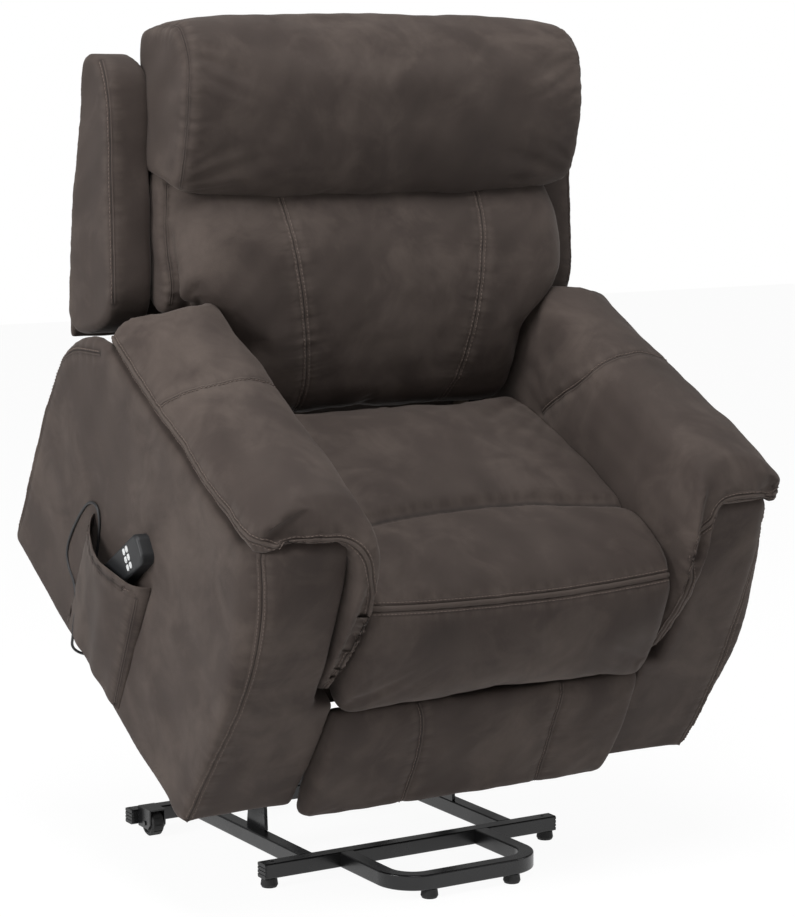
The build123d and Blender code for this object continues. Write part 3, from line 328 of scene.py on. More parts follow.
# %% [markdown]
# ## Tools of the upholsterer
# A padded piece is made in the order that a workshop works. First the foam: a closed shape lofted from a
# side outline with rounded ends. Then the mesh is made even by a voxel remesh. The fuller cushions are blown
# up by cloth simulation between their held seams, so the panels crown and the seams stay low. Last, the seams
# are pressed in and dressed with strips and rows of stitches.

# %% Outlines
LINE_STEP = 4.0


def rounded(points, times=3):
    """A closed outline with its corners cut a few times, which leaves a smooth curve."""
    ring = np.array(points, float)
    for _ in range(times):
        after = np.roll(ring, -1, axis=0)
        ring = np.stack([ring * 0.75 + after * 0.25, ring * 0.25 + after * 0.75], axis=1).reshape(-1, 2)
    return ring


def evenly(points, step, closed=False):
    """The same line with its points a step apart."""
    line = np.array(points, float)
    if closed:
        line = np.vstack([line, line[:1]])
    lengths = np.r_[0, np.cumsum(np.linalg.norm(np.diff(line, axis=0), axis=1))]
    count = max(2, int(round(lengths[-1] / step)))
    at = np.linspace(0, lengths[-1], count + 1)
    even = np.stack([np.interp(at, lengths, line[:, k]) for k in range(line.shape[1])], axis=1)
    return even[:-1] if closed else even


def flowing(points):
    """A smooth open line led by the points, sampled every LINE_STEP."""
    line = np.array(points, float)
    for _ in range(3):
        middle = np.stack([line[:-1] * 0.75 + line[1:] * 0.25, line[:-1] * 0.25 + line[1:] * 0.75], axis=1)
        line = np.vstack([line[:1], middle.reshape(-1, line.shape[1]), line[-1:]])
    return evenly(line, LINE_STEP)


def outward(ring):
    """Unit normals of a closed outline, pointing out of it."""
    along = np.roll(ring, -1, axis=0) - np.roll(ring, 1, axis=0)
    along /= np.linalg.norm(along, axis=1)[:, None] + 1e-9
    normal = np.stack([along[:, 1], -along[:, 0]], axis=1)
    x, y = ring[:, 0], ring[:, 1]
    area = np.sum(x * np.roll(y, -1) - np.roll(x, -1) * y)
    return normal if area > 0 else -normal


def mirrored(side, points):
    """Points given for the left side, laid on the left (side = 1) or on the right (side = -1)."""
    return [(side * x, u, w) for x, u, w in points]


# %% Lofts
RING_STEP = 9.0


def stations(low, high, radius):
    """Places along a loft, closer together where its ends are rounded."""
    ends = radius * (1 - np.cos(np.linspace(0, math.pi / 2, 7)))
    middle = np.linspace(low + radius, high - radius, max(3, int((high - low) / 16)))[1:-1]
    return np.r_[low + ends, middle, high - ends[::-1]]


def inset_at(place, low, high, radius):
    """How far the rounding of a loft's ends draws its ring in, at a place along it."""
    reach = max(0.0, low + radius - place, place - high + radius) / radius
    return radius * (1 - math.sqrt(max(0.0, 1 - min(1.0, reach) ** 2)))


def loft(rows):
    """Vertices and faces of a tube of equal rings with closed ends."""
    count = len(rows[0])
    points = [point for row in rows for point in row]
    faces = []
    for r in range(len(rows) - 1):
        for k in range(count):
            n = (k + 1) % count
            faces.append((r * count + k, r * count + n, (r + 1) * count + n, (r + 1) * count + k))
    faces.append(tuple(range(count - 1, -1, -1)))
    faces.append(tuple((len(rows) - 1) * count + k for k in range(count)))
    return points, faces


def roll(outline, low, high, radius, shape=None, corners=3, soft=None, spread=None):
    """A pad whose side outline, in u and w, runs across the chair from x = low to x = high.

    The ends are rounded by radius, and soft says how much of that each point of the outline takes. Spread
    gives each point's share of the full width, for a pad that narrows.
    """
    ring = evenly(rounded(outline, corners), RING_STEP, closed=True)
    normal = outward(ring) * (1.0 if soft is None else soft(ring)[:, None])
    rows = []
    for x in stations(low, high, radius):
        row = ring - normal * inset_at(x, low, high, radius)
        if shape is not None:
            row = shape(x, row)
        shares = np.ones(len(row)) if spread is None else spread(row)
        rows.append([(x * share, u, w) for (u, w), share in zip(row, shares)])
    return loft(rows)


# %% Mesh helpers
def mesh_object(name, shells):
    """One object from several closed shells given in the level frame."""
    points, faces = [], []
    for shell_points, shell_faces in shells:
        faces += [tuple(len(points) + k for k in face) for face in shell_faces]
        points += [tuple(chair(*point)) for point in shell_points]
    mesh = bpy.data.meshes.new(name)
    mesh.from_pydata(points, [], faces)
    bm = bmesh.new()
    bm.from_mesh(mesh)
    bmesh.ops.recalc_face_normals(bm, faces=bm.faces)
    bm.to_mesh(mesh)
    bm.free()
    return placed(name, mesh)


def baked(obj):
    """Replaces an object's mesh by what its modifiers make of it."""
    bpy.context.view_layer.update()
    result = bpy.data.meshes.new_from_object(obj.evaluated_get(bpy.context.evaluated_depsgraph_get()))
    obj.modifiers.clear()
    obj.data = result


def filled(obj, voxel, smooth):
    """The union of an object's shells as one even mesh, with softened corners."""
    remesh = obj.modifiers.new("even", "REMESH")
    remesh.mode = "VOXEL"
    remesh.voxel_size = voxel * MM
    soften = obj.modifiers.new("soften", "SMOOTH")
    soften.factor = 0.5
    soften.iterations = smooth
    baked(obj)


def vertices(obj):
    flat = np.zeros(len(obj.data.vertices) * 3)
    obj.data.vertices.foreach_get("co", flat)
    return flat.reshape(-1, 3)


def normals(obj):
    flat = np.zeros(len(obj.data.vertices) * 3, np.float32)
    obj.data.vertex_normals.foreach_get("vector", flat)
    return flat.reshape(-1, 3).astype(float)


def move_vertices(obj, places):
    obj.data.vertices.foreach_set("co", places.astype(np.float32).ravel())
    obj.data.update()


def surface_tree(obj):
    faces = [tuple(face.vertices) for face in obj.data.polygons]
    return BVHTree.FromPolygons([tuple(point) for point in vertices(obj)], faces)


def near_line(places, line, reach):
    """Which places lie within reach of a line, their distance from it and the nearest point's number."""
    low, high = line.min(0) - reach, line.max(0) + reach
    close = np.nonzero(((places > low) & (places < high)).all(1))[0]
    distance, index = np.full(len(close), 9.0), np.zeros(len(close), int)
    for start in range(0, len(close), 4000):
        part = places[close[start:start + 4000]]
        gap = np.linalg.norm(part[:, None, :] - line[None, :, :], axis=2)
        index[start:start + 4000] = gap.argmin(1)
        distance[start:start + 4000] = gap.min(1)
    kept = distance < reach
    return close[kept], distance[kept], index[kept]


def wobble(places, wavelength, seed):
    """Smooth irregular values of about -1 to 1 from a few crossing waves."""
    chance = np.random.default_rng(seed)
    total = np.zeros(len(places))
    for _ in range(7):
        heading = chance.normal(size=3)
        heading /= np.linalg.norm(heading)
        pace = 2 * math.pi / (wavelength * chance.uniform(0.7, 1.5))
        total += np.sin(places @ heading * pace + chance.uniform(0, 6.28))
    return total / 4.0


# %% Filling a cover with cloth simulation
HELD_REACH = 0.0065


def blown(obj, seams, cap, hold, frames=16):
    """Cloth pushed out between its held places, no further than cap."""
    rest = vertices(obj)
    held = hold(rest)
    for seam in seams:
        close, _, _ = near_line(rest, seam.line, HELD_REACH)
        held[close] = True
    group = obj.vertex_groups.new(name="held")
    group.add([int(k) for k in np.nonzero(held)[0]], 1.0, "REPLACE")
    cloth = obj.modifiers.new("filling", "CLOTH")
    cloth.settings.quality = 4
    cloth.settings.mass = 0.25
    cloth.settings.tension_stiffness = 18
    cloth.settings.compression_stiffness = 18
    cloth.settings.bending_stiffness = 0.8
    cloth.settings.use_pressure = True
    cloth.settings.uniform_pressure_force = 4.0
    cloth.settings.vertex_group_mass = "held"
    cloth.settings.effector_weights.gravity = 0
    cloth.collision_settings.use_collision = False
    cloth.point_cache.frame_end = frames
    for number in range(1, frames + 1):
        bpy.context.scene.frame_set(number)
    result = obj.evaluated_get(bpy.context.evaluated_depsgraph_get()).data
    flat = np.zeros(len(rest) * 3)
    result.vertices.foreach_get("co", flat)
    push = flat.reshape(-1, 3) - rest
    size = np.linalg.norm(push, axis=1)
    push *= (cap * np.tanh(size / cap) / np.maximum(size, 1e-9))[:, None]
    obj.modifiers.clear()
    obj.vertex_groups.clear()
    move_vertices(obj, rest + push)
    bpy.context.scene.frame_set(1)
    print(obj.name, "filled by up to", round(float(np.linalg.norm(push, axis=1).max()) / MM, 1), "mm")


def finer(obj):
    """One level of subdivision."""
    smooth = obj.modifiers.new("finer", "SUBSURF")
    smooth.levels = 1
    smooth.render_levels = 1
    baked(obj)


# %% Seams
PUCKER_STEP = 0.0135 / 0.42


class Seam:
    """A sewn line over a padded piece: where it runs, how deep it pulls and how it is stitched."""

    def __init__(self, points, pull=3.0, width=11.0, pucker=1.0, style="twin", narrow=1.0, seed=1):
        self.line = np.array([chair(*point) for point in flowing(points)])
        self.pull = pull * MM
        self.width = width * MM
        self.pucker = pucker * MM
        self.style = style
        self.narrow = narrow
        self.seed = seed


def settled(line, tree):
    """A line drawn onto a cover and evened out until it runs smoothly over it."""
    for _ in range(10):
        line = np.array([tree.find_nearest(Vector(point))[0] for point in line])
        line[1:-1] = line[1:-1] * 0.4 + (line[:-2] + line[2:]) * 0.3
    return np.array([tree.find_nearest(Vector(point))[0] for point in line])


def pull_seams(obj, seams, ripple=1.2, wave=0.13, seed=3):
    """Presses in the seams with puckers beside them; stores rubbed paleness and painted crease shade."""
    places = vertices(obj)
    outward_normals = normals(obj)
    tree = surface_tree(obj)
    shift = ripple * MM * (wobble(places, wave, seed) + 0.5 * wobble(places, wave * 0.38, seed + 40))
    rub_and_crease_shade = np.clip(0.16 + 0.2 * wobble(places, 0.09, seed + 7), 0, 1)
    for seam in seams:
        seam.line = settled(seam.line, tree)
        close, distance, index = near_line(places, seam.line, 0.05)
        along = index * LINE_STEP * MM
        folds = np.sin(along / PUCKER_STEP * 2 * math.pi + 2.2 * np.sin(along * 37 + seam.seed))
        folds += 0.6 * np.sin(along * 520 + 3 * np.sin(along * 61 + seam.seed * 2))
        shift[close] -= seam.pull * np.exp(-(distance / seam.width) ** 2)
        beside = np.exp(-distance / 0.016) * np.clip(distance / 0.004, 0, 1)
        shift[close] += seam.pucker * 0.6 * folds * beside
        rim = np.exp(-((distance - 0.012) / 0.010) ** 2)
        rub_and_crease_shade[close] = np.maximum(rub_and_crease_shade[close], 0.75 * rim * (0.6 + 0.4 * folds / 1.6))
        # painted shade: right on the seam line the value drops below zero, which darkens the crease
        rub_and_crease_shade[close] -= 1.1 * np.exp(-(distance / 0.0045) ** 2)
    move_vertices(obj, places + outward_normals * shift[:, None])
    layer = obj.data.attributes.new("rub_and_crease_shade", "FLOAT", "POINT")
    layer.data.foreach_set("value", np.clip(rub_and_crease_shade, -1, 1).astype(np.float32))


# %% [markdown]
# A seam's style is the section of its pressed strip, as offset and height in millimetres, and the offsets of
# its rows of stitches. The style "fold" has neither: it is a crease alone.

# %% Strips and stitches
SEAM_STYLES = {
    "plain": ([(-4.5, -2.0), (-3.2, 0.0), (-1.6, 0.6), (-0.7, 0.2), (0.0, -1.3), (0.7, 0.2), (1.6, 0.6),
               (3.2, 0.0), (4.5, -2.0)], ()),
    "single": ([(-5.5, -2.0), (-4.2, 0.1), (-2.6, 0.8), (-1.2, 0.5), (0.0, -1.2), (1.2, 0.5), (2.6, 0.8),
                (4.2, 0.1), (5.5, -2.0)], (3.0,)),
    "twin": ([(-9.5, -2.2), (-8.0, -0.2), (-6.2, 0.9), (-4.6, 0.75), (-3.0, 1.3), (-1.4, 0.9), (0.0, -0.9),
              (1.4, 0.9), (3.0, 1.3), (4.6, 0.75), (6.2, 0.9), (8.0, -0.2), (9.5, -2.2)], (-4.6, 4.6)),
    "band": ([(-14.5, -2.4), (-12.5, -0.2), (-10.0, 0.7), (-8.0, 0.8), (-5.6, 0.6), (-4.6, -1.6), (-3.8, 0.9),
              (-1.8, 2.4), (1.8, 2.4), (3.8, 0.9), (4.6, -1.6), (5.6, 0.6), (8.0, 0.8), (10.0, 0.7),
              (12.5, -0.2), (14.5, -2.4)], (-8.6, 8.6)),
}
STITCH_LENGTH = 4.6
STITCH_STEP = 6.6
STITCH_THICK = 0.55
STITCH_ARCH = ((0.0, 0.5), (0.22, 1.2), (0.5, 1.45), (0.78, 1.2), (1.0, 0.5))
STITCH_SIDES = 6


def seam_frames(obj, seam):
    """The cover's tree, and at each point of a seam the point on the cover and the ways across and out."""
    tree = surface_tree(obj)
    spots, outs = [], []
    for point in seam.line:
        spot, normal, _, _ = tree.find_nearest(Vector(point))
        spots.append(spot)
        outs.append(normal)
    spots, outs = np.array(spots), np.array(outs)
    for _ in range(8):
        spots[1:-1] = spots[1:-1] * 0.5 + (spots[:-2] + spots[2:]) * 0.25
        outs[1:-1] = outs[1:-1] * 0.4 + (outs[:-2] + outs[2:]) * 0.3
    outs /= np.linalg.norm(outs, axis=1)[:, None]
    along = np.gradient(spots, axis=0)
    along /= np.linalg.norm(along, axis=1)[:, None] + 1e-12
    across = np.cross(along, outs)
    across /= np.linalg.norm(across, axis=1)[:, None] + 1e-12
    return tree, spots, across, outs


def onto(tree, place, out, height):
    """A place carried onto the nearest point of the cover, then lifted off it by height."""
    spot, normal, _, _ = tree.find_nearest(Vector(place))
    lift = np.array(normal) * 0.6 + out * 0.4
    return np.array(spot) + lift / (np.linalg.norm(lift) + 1e-9) * height


def dress_seams(obj, seams, body):
    """Pressed strips over the seams and their rows of stitches, as two objects that ride along."""
    strip_points, strip_faces, rubs_and_crease_shades, stitches, stitch_faces = [], [], [], [], []
    for seam in seams:
        if seam.style == "fold":
            continue
        tree, spots, across, outs = seam_frames(obj, seam)
        profile, offsets = SEAM_STYLES[seam.style]
        base = len(strip_points)
        for place, side, out in zip(spots, across, outs):
            for offset, height in profile:
                strip_points.append(onto(tree, place + side * offset * seam.narrow * MM, out, height * MM))
                # painted shade: the strip's groove takes the crease value below zero; its raised ribs are
                # rubbed pale
                rubs_and_crease_shades.append(0.8 if height > 0.7 else -0.9 if -1.7 < height < -0.8 else 0.1)
        wide = len(profile)
        for r in range(len(spots) - 1):
            for k in range(wide - 1):
                a = base + r * wide + k
                strip_faces.append((a, a + 1, a + wide + 1, a + wide))
        lengths = np.r_[0, np.cumsum(np.linalg.norm(np.diff(spots, axis=0), axis=1))] / MM
        for offset in offsets:
            for start in np.arange(4.0, lengths[-1] - 8.0, STITCH_STEP):
                ring_base = len(stitches)
                for share, rise in STITCH_ARCH:
                    at = start + share * STITCH_LENGTH
                    place, side, out = (np.array([np.interp(at, lengths, field[:, k]) for k in range(3)])
                                        for field in (spots, across, outs))
                    centre = onto(tree, place + side * offset * seam.narrow * MM, out, rise * MM)
                    for turn in range(STITCH_SIDES):
                        angle = turn * 2 * math.pi / STITCH_SIDES
                        spoke = side * math.cos(angle) + out * math.sin(angle)
                        stitches.append(centre + spoke * STITCH_THICK * MM)
                last = ring_base + (len(STITCH_ARCH) - 1) * STITCH_SIDES
                for ring in range(ring_base, last, STITCH_SIDES):
                    for turn in range(STITCH_SIDES):
                        a, b = ring + turn, ring + (turn + 1) % STITCH_SIDES
                        stitch_faces.append((a, b, b + STITCH_SIDES, a + STITCH_SIDES))
                stitch_faces.append(tuple(ring_base + k for k in reversed(range(STITCH_SIDES))))
                stitch_faces.append(tuple(last + k for k in range(STITCH_SIDES)))
    for name, points, faces, material in ((f"{obj.name}_seams", strip_points, strip_faces, suede),
                                          (f"{obj.name}_stitches", stitches, stitch_faces, thread_material)):
        if not faces:
            continue
        mesh = bpy.data.meshes.new(name)
        mesh.from_pydata([tuple(p) for p in points], [], faces)
        mesh.materials.append(material)
        mesh.polygons.foreach_set("use_smooth", [True] * len(mesh.polygons))
        if material is suede:
            layer = mesh.attributes.new("rub_and_crease_shade", "FLOAT", "POINT")
            layer.data.foreach_set("value", np.array(rubs_and_crease_shades, np.float32))
        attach(placed(name, mesh), body)


def upholstered(obj, body, stands_for, seams=()):
    """Covers a finished piece in suede and fixes it to its body."""
    obj.data.materials.clear()
    obj.data.materials.append(suede)
    obj.data.polygons.foreach_set("use_smooth", [True] * len(obj.data.polygons))
    dress_seams(obj, seams, body)
    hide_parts(*stands_for)
    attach(obj, body)
    print(obj.name, "has", len(obj.data.vertices), "vertices")


# %% [markdown]
# ## Back and headrest
# The back is two pillows on a board. The lower one supports the small of the back and is cut narrow at the
# bottom to pass between the arms. The upper one is a fat bolster that rolls over the top of the back and
# hangs forward over the lower one, so there is a deep dark crease between them. Both are boxed: a gusset is
# sewn to the front panel by a curved seam near each end. Narrow ears fill the space behind the lower
# pillow's ends.

# %% Headrest bolster
BOARD_FOOT = np.array((615.0, 360.0))
BOARD_LEAN = math.radians(25)


def before_board(ring):
    """How far each point of an outline stands in front of the back board."""
    return (ring - BOARD_FOOT) @ np.array((-math.cos(BOARD_LEAN), math.sin(BOARD_LEAN)))


def crowned(x, row):
    """The bolster is fullest in the middle: at the ends its top is lower and its lower edge higher."""
    full = row.copy()
    share = (abs(x) / HEADREST_HALF) ** 2.4
    full[:, 1] -= 7 * share * np.clip((full[:, 1] - 820) / 120, 0, 1)
    sag = np.clip((760 - full[:, 1]) / 60, 0, 1) * np.clip(before_board(full) / 60, 0, 1)
    full[:, 1] += (38 * share - 27) * sag
    return full


HEADREST_HALF = 367
headrest_side = [(771, 682), (830, 796), (866, 834), (877, 862), (862, 888), (813, 920), (768, 947),
                 (729, 937), (695, 907), (670, 872), (644, 800), (632, 730), (642, 694), (702, 684)]


def headrest_ends(ring):
    """The ends are square where they lean on the board, crisp in front and softly rounded behind the top."""
    behind = np.clip((ring[:, 0] - 740) / 60, 0, 1) * np.clip((ring[:, 1] - 800) / 40, 0, 1)
    return np.clip(before_board(ring) / 50, 0.06, 1) * 0.55 + 0.45 * behind


headrest = mesh_object("headrest", [roll(headrest_side, -HEADREST_HALF, HEADREST_HALF, 26, crowned,
                                         soft=headrest_ends)])
filled(headrest, 6.5, 3)
headrest_seams = [
    Seam(mirrored(side, [
        (358, 866, 878), (362, 838, 902), (364, 804, 926), (365, 768, 944), (365, 732, 934), (365, 703, 904),
        (365, 681, 866), (364, 655, 800), (362, 642, 738), (358, 648, 706)]),
        pull=3.0, pucker=1.5, width=9, style="plain", seed=3 + side) for side in (-1, 1)]
blown(headrest, headrest_seams, cap=0.010, hold=lambda places: np.abs(places[:, 0]) > 0.362)
finer(headrest)
pull_seams(headrest, headrest_seams, ripple=2.2, wave=0.16, seed=5)
upholstered(headrest, "back", ["headrest_cushion"], headrest_seams)

# %% Lumbar cushion
LUMBAR_HALF = 354
lumbar_side = [(764, 692), (610, 350), (520, 350), (482, 388), (478, 450), (488, 505), (510, 562),
               (542, 618), (580, 664), (622, 694), (668, 712), (720, 712)]
ear_side = [(764, 690), (684, 500), (604, 500), (594, 530), (602, 562), (630, 590), (660, 622), (678, 654),
            (690, 690), (720, 700)]


def between_arms(row):
    """Each point's share of the full width: the cushion narrows downward to pass between the arms."""
    start = np.interp(row[:, 0], (560, 600), (494, 472))
    end = np.interp(row[:, 0], (560, 600), (612, 486))
    share = np.clip((row[:, 1] - start) / (end - start), 0, 1)
    return 0.765 + 0.235 * share * share * (3 - 2 * share)


def lumbar_ends(ring):
    """The ends are round in front, square at the board and squarer at the bottom."""
    return np.clip((before_board(ring) - 20) / 70, 0.05, 1) * np.clip((ring[:, 1] - 330) / 150, 0.35, 1)


lumbar = mesh_object("lumbar", [
    roll(lumbar_side, -LUMBAR_HALF, LUMBAR_HALF, 60, spread=between_arms, soft=lumbar_ends),
    roll(ear_side, -LUMBAR_HALF - 9, LUMBAR_HALF + 9, 12, corners=2)])
filled(lumbar, 6.5, 4)
lumbar_seams = [
    Seam(mirrored(side, [(354, 696, 696), (356, 680, 655), (356, 661, 622), (355, 632, 590), (352, 604, 562),
                         (352, 596, 530)]),
        pull=3.0, pucker=1.6, width=10, style="plain", seed=13 + side) for side in (-1, 1)]
lumbar_seams += [
    Seam(mirrored(side, [(182, 660, 710), (180, 590, 672), (170, 542, 616), (160, 508, 560), (150, 484, 490),
                         (140, 484, 420), (136, 516, 370)]),
        pull=3.0, pucker=1.4, style="twin", seed=17 + side) for side in (-1, 1)]
blown(lumbar, lumbar_seams, cap=0.018, hold=lambda places: np.abs(places[:, 0]) > 0.346)
finer(lumbar)
pull_seams(lumbar, lumbar_seams, ripple=2.2, wave=0.15, seed=15)
upholstered(lumbar, "back", ["lumbar_cushion"], lumbar_seams)

# %% Back shell
SHELL_HALF = 437
SHELL_INNER = 364
wing_side = [(652, 443), (622, 507), (672, 592), (727, 678), (766, 750), (803, 815), (838, 828), (890, 816),
             (907, 790), (832, 582), (755, 372)]
plate_side = [(731, 370), (885, 793), (908, 793), (832, 582), (755, 370)]
back_shell = mesh_object("back_wrap", [roll(wing_side, SHELL_INNER, SHELL_HALF + 1, 9, corners=2),
                                       roll(wing_side, -SHELL_HALF - 1, -SHELL_INNER, 9, corners=2),
                                       roll(plate_side, -SHELL_HALF + 6, SHELL_HALF - 6, 6, corners=2)])
filled(back_shell, 6, 3)
shell_seams = []
for side in (-1, 1):
    shell_seams.append(Seam(mirrored(side, [
        (432, 850, 824), (431, 812, 812), (431, 768, 742), (431, 731, 676), (431, 676, 588),
        (431, 632, 512)]),
        pull=1.5, pucker=0.8, width=8, style="single", seed=23 + side))
    shell_seams.append(Seam(mirrored(side, [
        (424, 760, 384), (428, 800, 480), (428, 842, 600), (424, 900, 770)]),
        pull=1.5, pucker=0.8, width=8, style="plain", seed=27 + side))
finer(back_shell)
pull_seams(back_shell, shell_seams, ripple=1.6, wave=0.2, seed=25)
upholstered(back_shell, "back", ["back_shell"], shell_seams)

# %% [markdown]
# ## Seat
# The seat is one deep cushion that rolls over the front rail. A fold crosses it before the middle, and a
# strong banded seam marks where its top ends and the front roll begins. It bulges highest in the middle of
# each panel and fills the space between the arms.

# %% Seat cushion
SEAT_HALF = 280
SEAM_HALF = 283
seat_side = [(503, 242), (503, 396), (430, 414), (300, 430), (190, 436), (150, 438), (60, 446), (0, 440),
             (-38, 408), (-50, 340), (-48, 262), (-38, 211), (16, 211), (20, 242)]
seat = mesh_object("seat", [roll(seat_side, -SEAT_HALF, SEAT_HALF, 26, corners=2)])
filled(seat, 6.5, 4)
seat_seams = [
    Seam([(x, 166 - 36 * (x / SEAM_HALF) ** 2, 440) for x in range(-282, 283, 94)],
         pull=10, width=15, pucker=0.8, style="fold", seed=31),
    Seam([(x, -34 + 6 * (x / SEAM_HALF) ** 2, 410 + 10 * (x / SEAM_HALF) ** 2) for x in range(-282, 283, 94)],
         pull=3, width=15, pucker=1.7, style="band", seed=32),
]
blown(seat, seat_seams, cap=0.024, hold=lambda places: np.abs(places[:, 0]) > 0.274)
finer(seat)
pull_seams(seat, seat_seams, ripple=2.2, wave=0.14, seed=33)
upholstered(seat, "chair", ["seat_cushion"], seat_seams)

# %% [markdown]
# ## Footrest pad
# A slim pad on a board that hangs flush below the seat. Its sides run back past the board's face to meet the
# arms, and two seams run down it in gentle opposite curves and divide it in three.

# %% Footrest pad
FOOT_HALF = 281
foot_side = [(6, 3), (6, 196), (-12, 216), (-26, 217), (-39, 196), (-45, 150), (-47, 114), (-45, 74),
             (-39, 18), (-26, -2)]


def foot_ends(ring):
    """The ends are round in front and square where they meet the board."""
    return np.clip((-14 - ring[:, 0]) / 18, 0.05, 1)


footrest = mesh_object("footrest_front", [roll(foot_side, -FOOT_HALF, FOOT_HALF, 14, corners=2,
                                               soft=foot_ends)])
filled(footrest, 6, 3)
foot_seams = [
    Seam([(-132, -26, 213), (-121, -40, 187), (-114, -44, 130), (-112, -43, 90), (-109, -37, 42),
          (-106, -26, 15)], pull=2.2, pucker=1.1, width=8, style="single", seed=41),
    Seam([(133, -26, 213), (131, -40, 187), (130, -44, 140), (134, -43, 90), (140, -37, 42), (145, -26, 15)],
         pull=2.2, pucker=1.1, width=8, style="single", seed=42),
]
blown(footrest, foot_seams, cap=0.007, frames=12, hold=lambda places: np.abs(places[:, 0]) > 0.262)
finer(footrest)
pull_seams(footrest, foot_seams, ripple=1.2, wave=0.12, seed=43)
upholstered(footrest, "footrest", ["footrest_pad"], foot_seams)

# %% [markdown]
# ## Arms
# Each arm is a wooden box with a fat pad laid over it. The pad hangs down inside as a drape, runs out over
# the front in a rounded nose and ends outside in a lip with a double row of stitches. A second seam crosses
# it behind the middle. The front of the box is a shaped panel and its outer side a flat one.

# %% Arm pads
pad_section = [(473, 500), (474, 528), (460, 553), (424, 573), (376, 583), (330, 580), (297, 563),
               (284, 528), (281, 460), (281, 400), (281, 300), (283, 242), (296, 236), (310, 244),
               (316, 320), (317, 420), (316, 478), (330, 489), (380, 489), (440, 489), (468, 488)]
DRAPE_NOSE = [(230, -4), (270, -22), (315, -34), (360, -42), (425, -47), (470, -43), (505, -32), (530, -18),
              (555, 4), (575, 36), (600, 60)]
LIP_NOSE = [(480, -6), (496, -14), (528, -14), (553, 2), (573, 30), (600, 60)]
PAD_HEEL = [(230, 578), (515, 583), (545, 580), (560, 572), (575, 545), (600, 490)]
PAD_LENGTH = 600
PAD_OUTER = 474
NOSE_TURN = 48
SIDES = (("right", -1), ("left", 1))


def share_between(values, low, high):
    """0 below low, 1 above high, and a straight rise between them."""
    return np.clip((values - low) / (high - low), 0, 1)


def arm_pad_shell(side):
    """The L-shaped section swept from the nose to the heel, each height with its own start and end.

    The underside rises towards the nose so that the pad ends in a lip, level across the front panel.
    """
    ring = evenly(rounded(pad_section, 2), 8, closed=True)
    normal = outward(ring)
    across, height = ring.T
    lip = share_between(across, 316, 334)
    drape_nose, lip_nose, heel = (np.interp(height, *np.array(line).T)
                                  for line in (DRAPE_NOSE, LIP_NOSE, PAD_HEEL))
    nose = drape_nose * (1 - lip) + lip_nose * lip
    nose += NOSE_TURN * (1 - np.sqrt(1 - share_between(across, PAD_OUTER - NOSE_TURN, PAD_OUTER) ** 2))
    heel -= 22 * share_between(across, 430, PAD_OUTER) ** 2
    under = lip * share_between(height, 560, 505) * (1 - 0.74 * share_between(across, 438, 472))
    outer = share_between(across, 365, 458) * share_between(height, 506, 545)
    rows = []
    for u in stations(0, PAD_LENGTH, 16):
        shrunk = ring - normal * min(7.0, inset_at(u, 0, PAD_LENGTH, 16) * 0.9)
        reach = nose + (heel - nose) * u / PAD_LENGTH
        lift = 40 * under * share_between(reach, 110, 0) ** 1.4 - 27 * outer * share_between(reach, 150, 480)
        rows.append([(side * x, along, w + up) for (x, w), along, up in zip(shrunk, reach, lift)])
    return loft(rows)


def arm_pad_seams(side):
    """The banded lip from the heel round the nose and down the drape, and the seam across the top."""
    lip = [(474, 560, 509), (475, 484, 510), (475, 361, 511), (475, 243, 511), (475, 119, 512),
           (474, 66, 515), (471, 28, 521), (461, 4, 531), (443, -10, 539), (420, -15, 542),
           (380, -16, 544), (345, -17, 543), (325, -24, 537), (308, -34, 520), (298, -42, 490),
           (296, -47, 452), (296, -46, 400), (296, -38, 340), (296, -26, 284), (296, -10, 256)]
    across = [(472, 361, 514), (460, 352, 552), (420, 340, 574), (364, 332, 582), (320, 330, 570),
              (292, 334, 544), (285, 352, 506), (284, 384, 460), (284, 410, 410)]
    return [Seam(mirrored(side, lip), pull=2.5, width=13, pucker=1.3, style="band", narrow=0.78,
                 seed=51 + side),
            Seam(mirrored(side, across), pull=2.2, width=8, pucker=1.2, style="single", seed=54 + side)]


for name, side in SIDES:
    pad = mesh_object(f"arm_pad_{name}_cover", [arm_pad_shell(side)])
    filled(pad, 6, 3)
    seams = arm_pad_seams(side)
    blown(pad, seams, cap=0.010,
          hold=lambda places: (np.abs(places[:, 0]) > 0.302) & (np.abs(places[:, 0]) < 0.324))
    finer(pad)
    pull_seams(pad, seams, ripple=2.0, wave=0.13, seed=60 + side)
    upholstered(pad, "chair", [f"arm_pad_{name}"], seams)

# %% [markdown]
# The front panel and the outer side panel of an arm are one cover, pulled round the corner. The seam between
# them is the curved line that gives the arm its waist: it lies on the front, a little inside the corner.

# %% Arm boxes
ARM_FRONT = [(0, -8), (-10, 60), (-18, 128), (-25, 230), (-27, 330), (-22, 390), (-16, 440), (-2, 487)]
ARM_REAR = [(560, 490), (616, 468), (672, 416), (694, 366), (705, 264), (706, 140), (703, 8), (690, -6)]
front_side = ARM_FRONT + [(2, 525), (70, 525), (70, -8)]
low_side = [point for point in ARM_FRONT if point[1] < 235] + [(-25, 236), (64, 236), (64, -8)]
panel_side = evenly(ARM_FRONT, 30).tolist() + [(2, 507), (536, 507)] + ARM_REAR


def waisted(x, row):
    """Under the pad's nose the cover is pulled back round the outer corner."""
    pulled = row.copy()
    outer = np.clip((abs(x) - 415) / 55, 0, 1) ** 2.2
    high = np.clip((row[:, 1] - 240) / 210, 0, 1) ** 1.4
    pulled[:, 0] += 50 * outer * high * np.clip((90 - row[:, 0]) / 90, 0, 1)
    pulled[:, 1] -= 36 * np.clip((abs(x) - 430) / 36, 0, 1) * np.clip((row[:, 1] - 488) / 36, 0, 1)
    return pulled


def between(side, near, far):
    """The low and high x of a panel that is given for the left side."""
    return sorted((side * near, side * far))


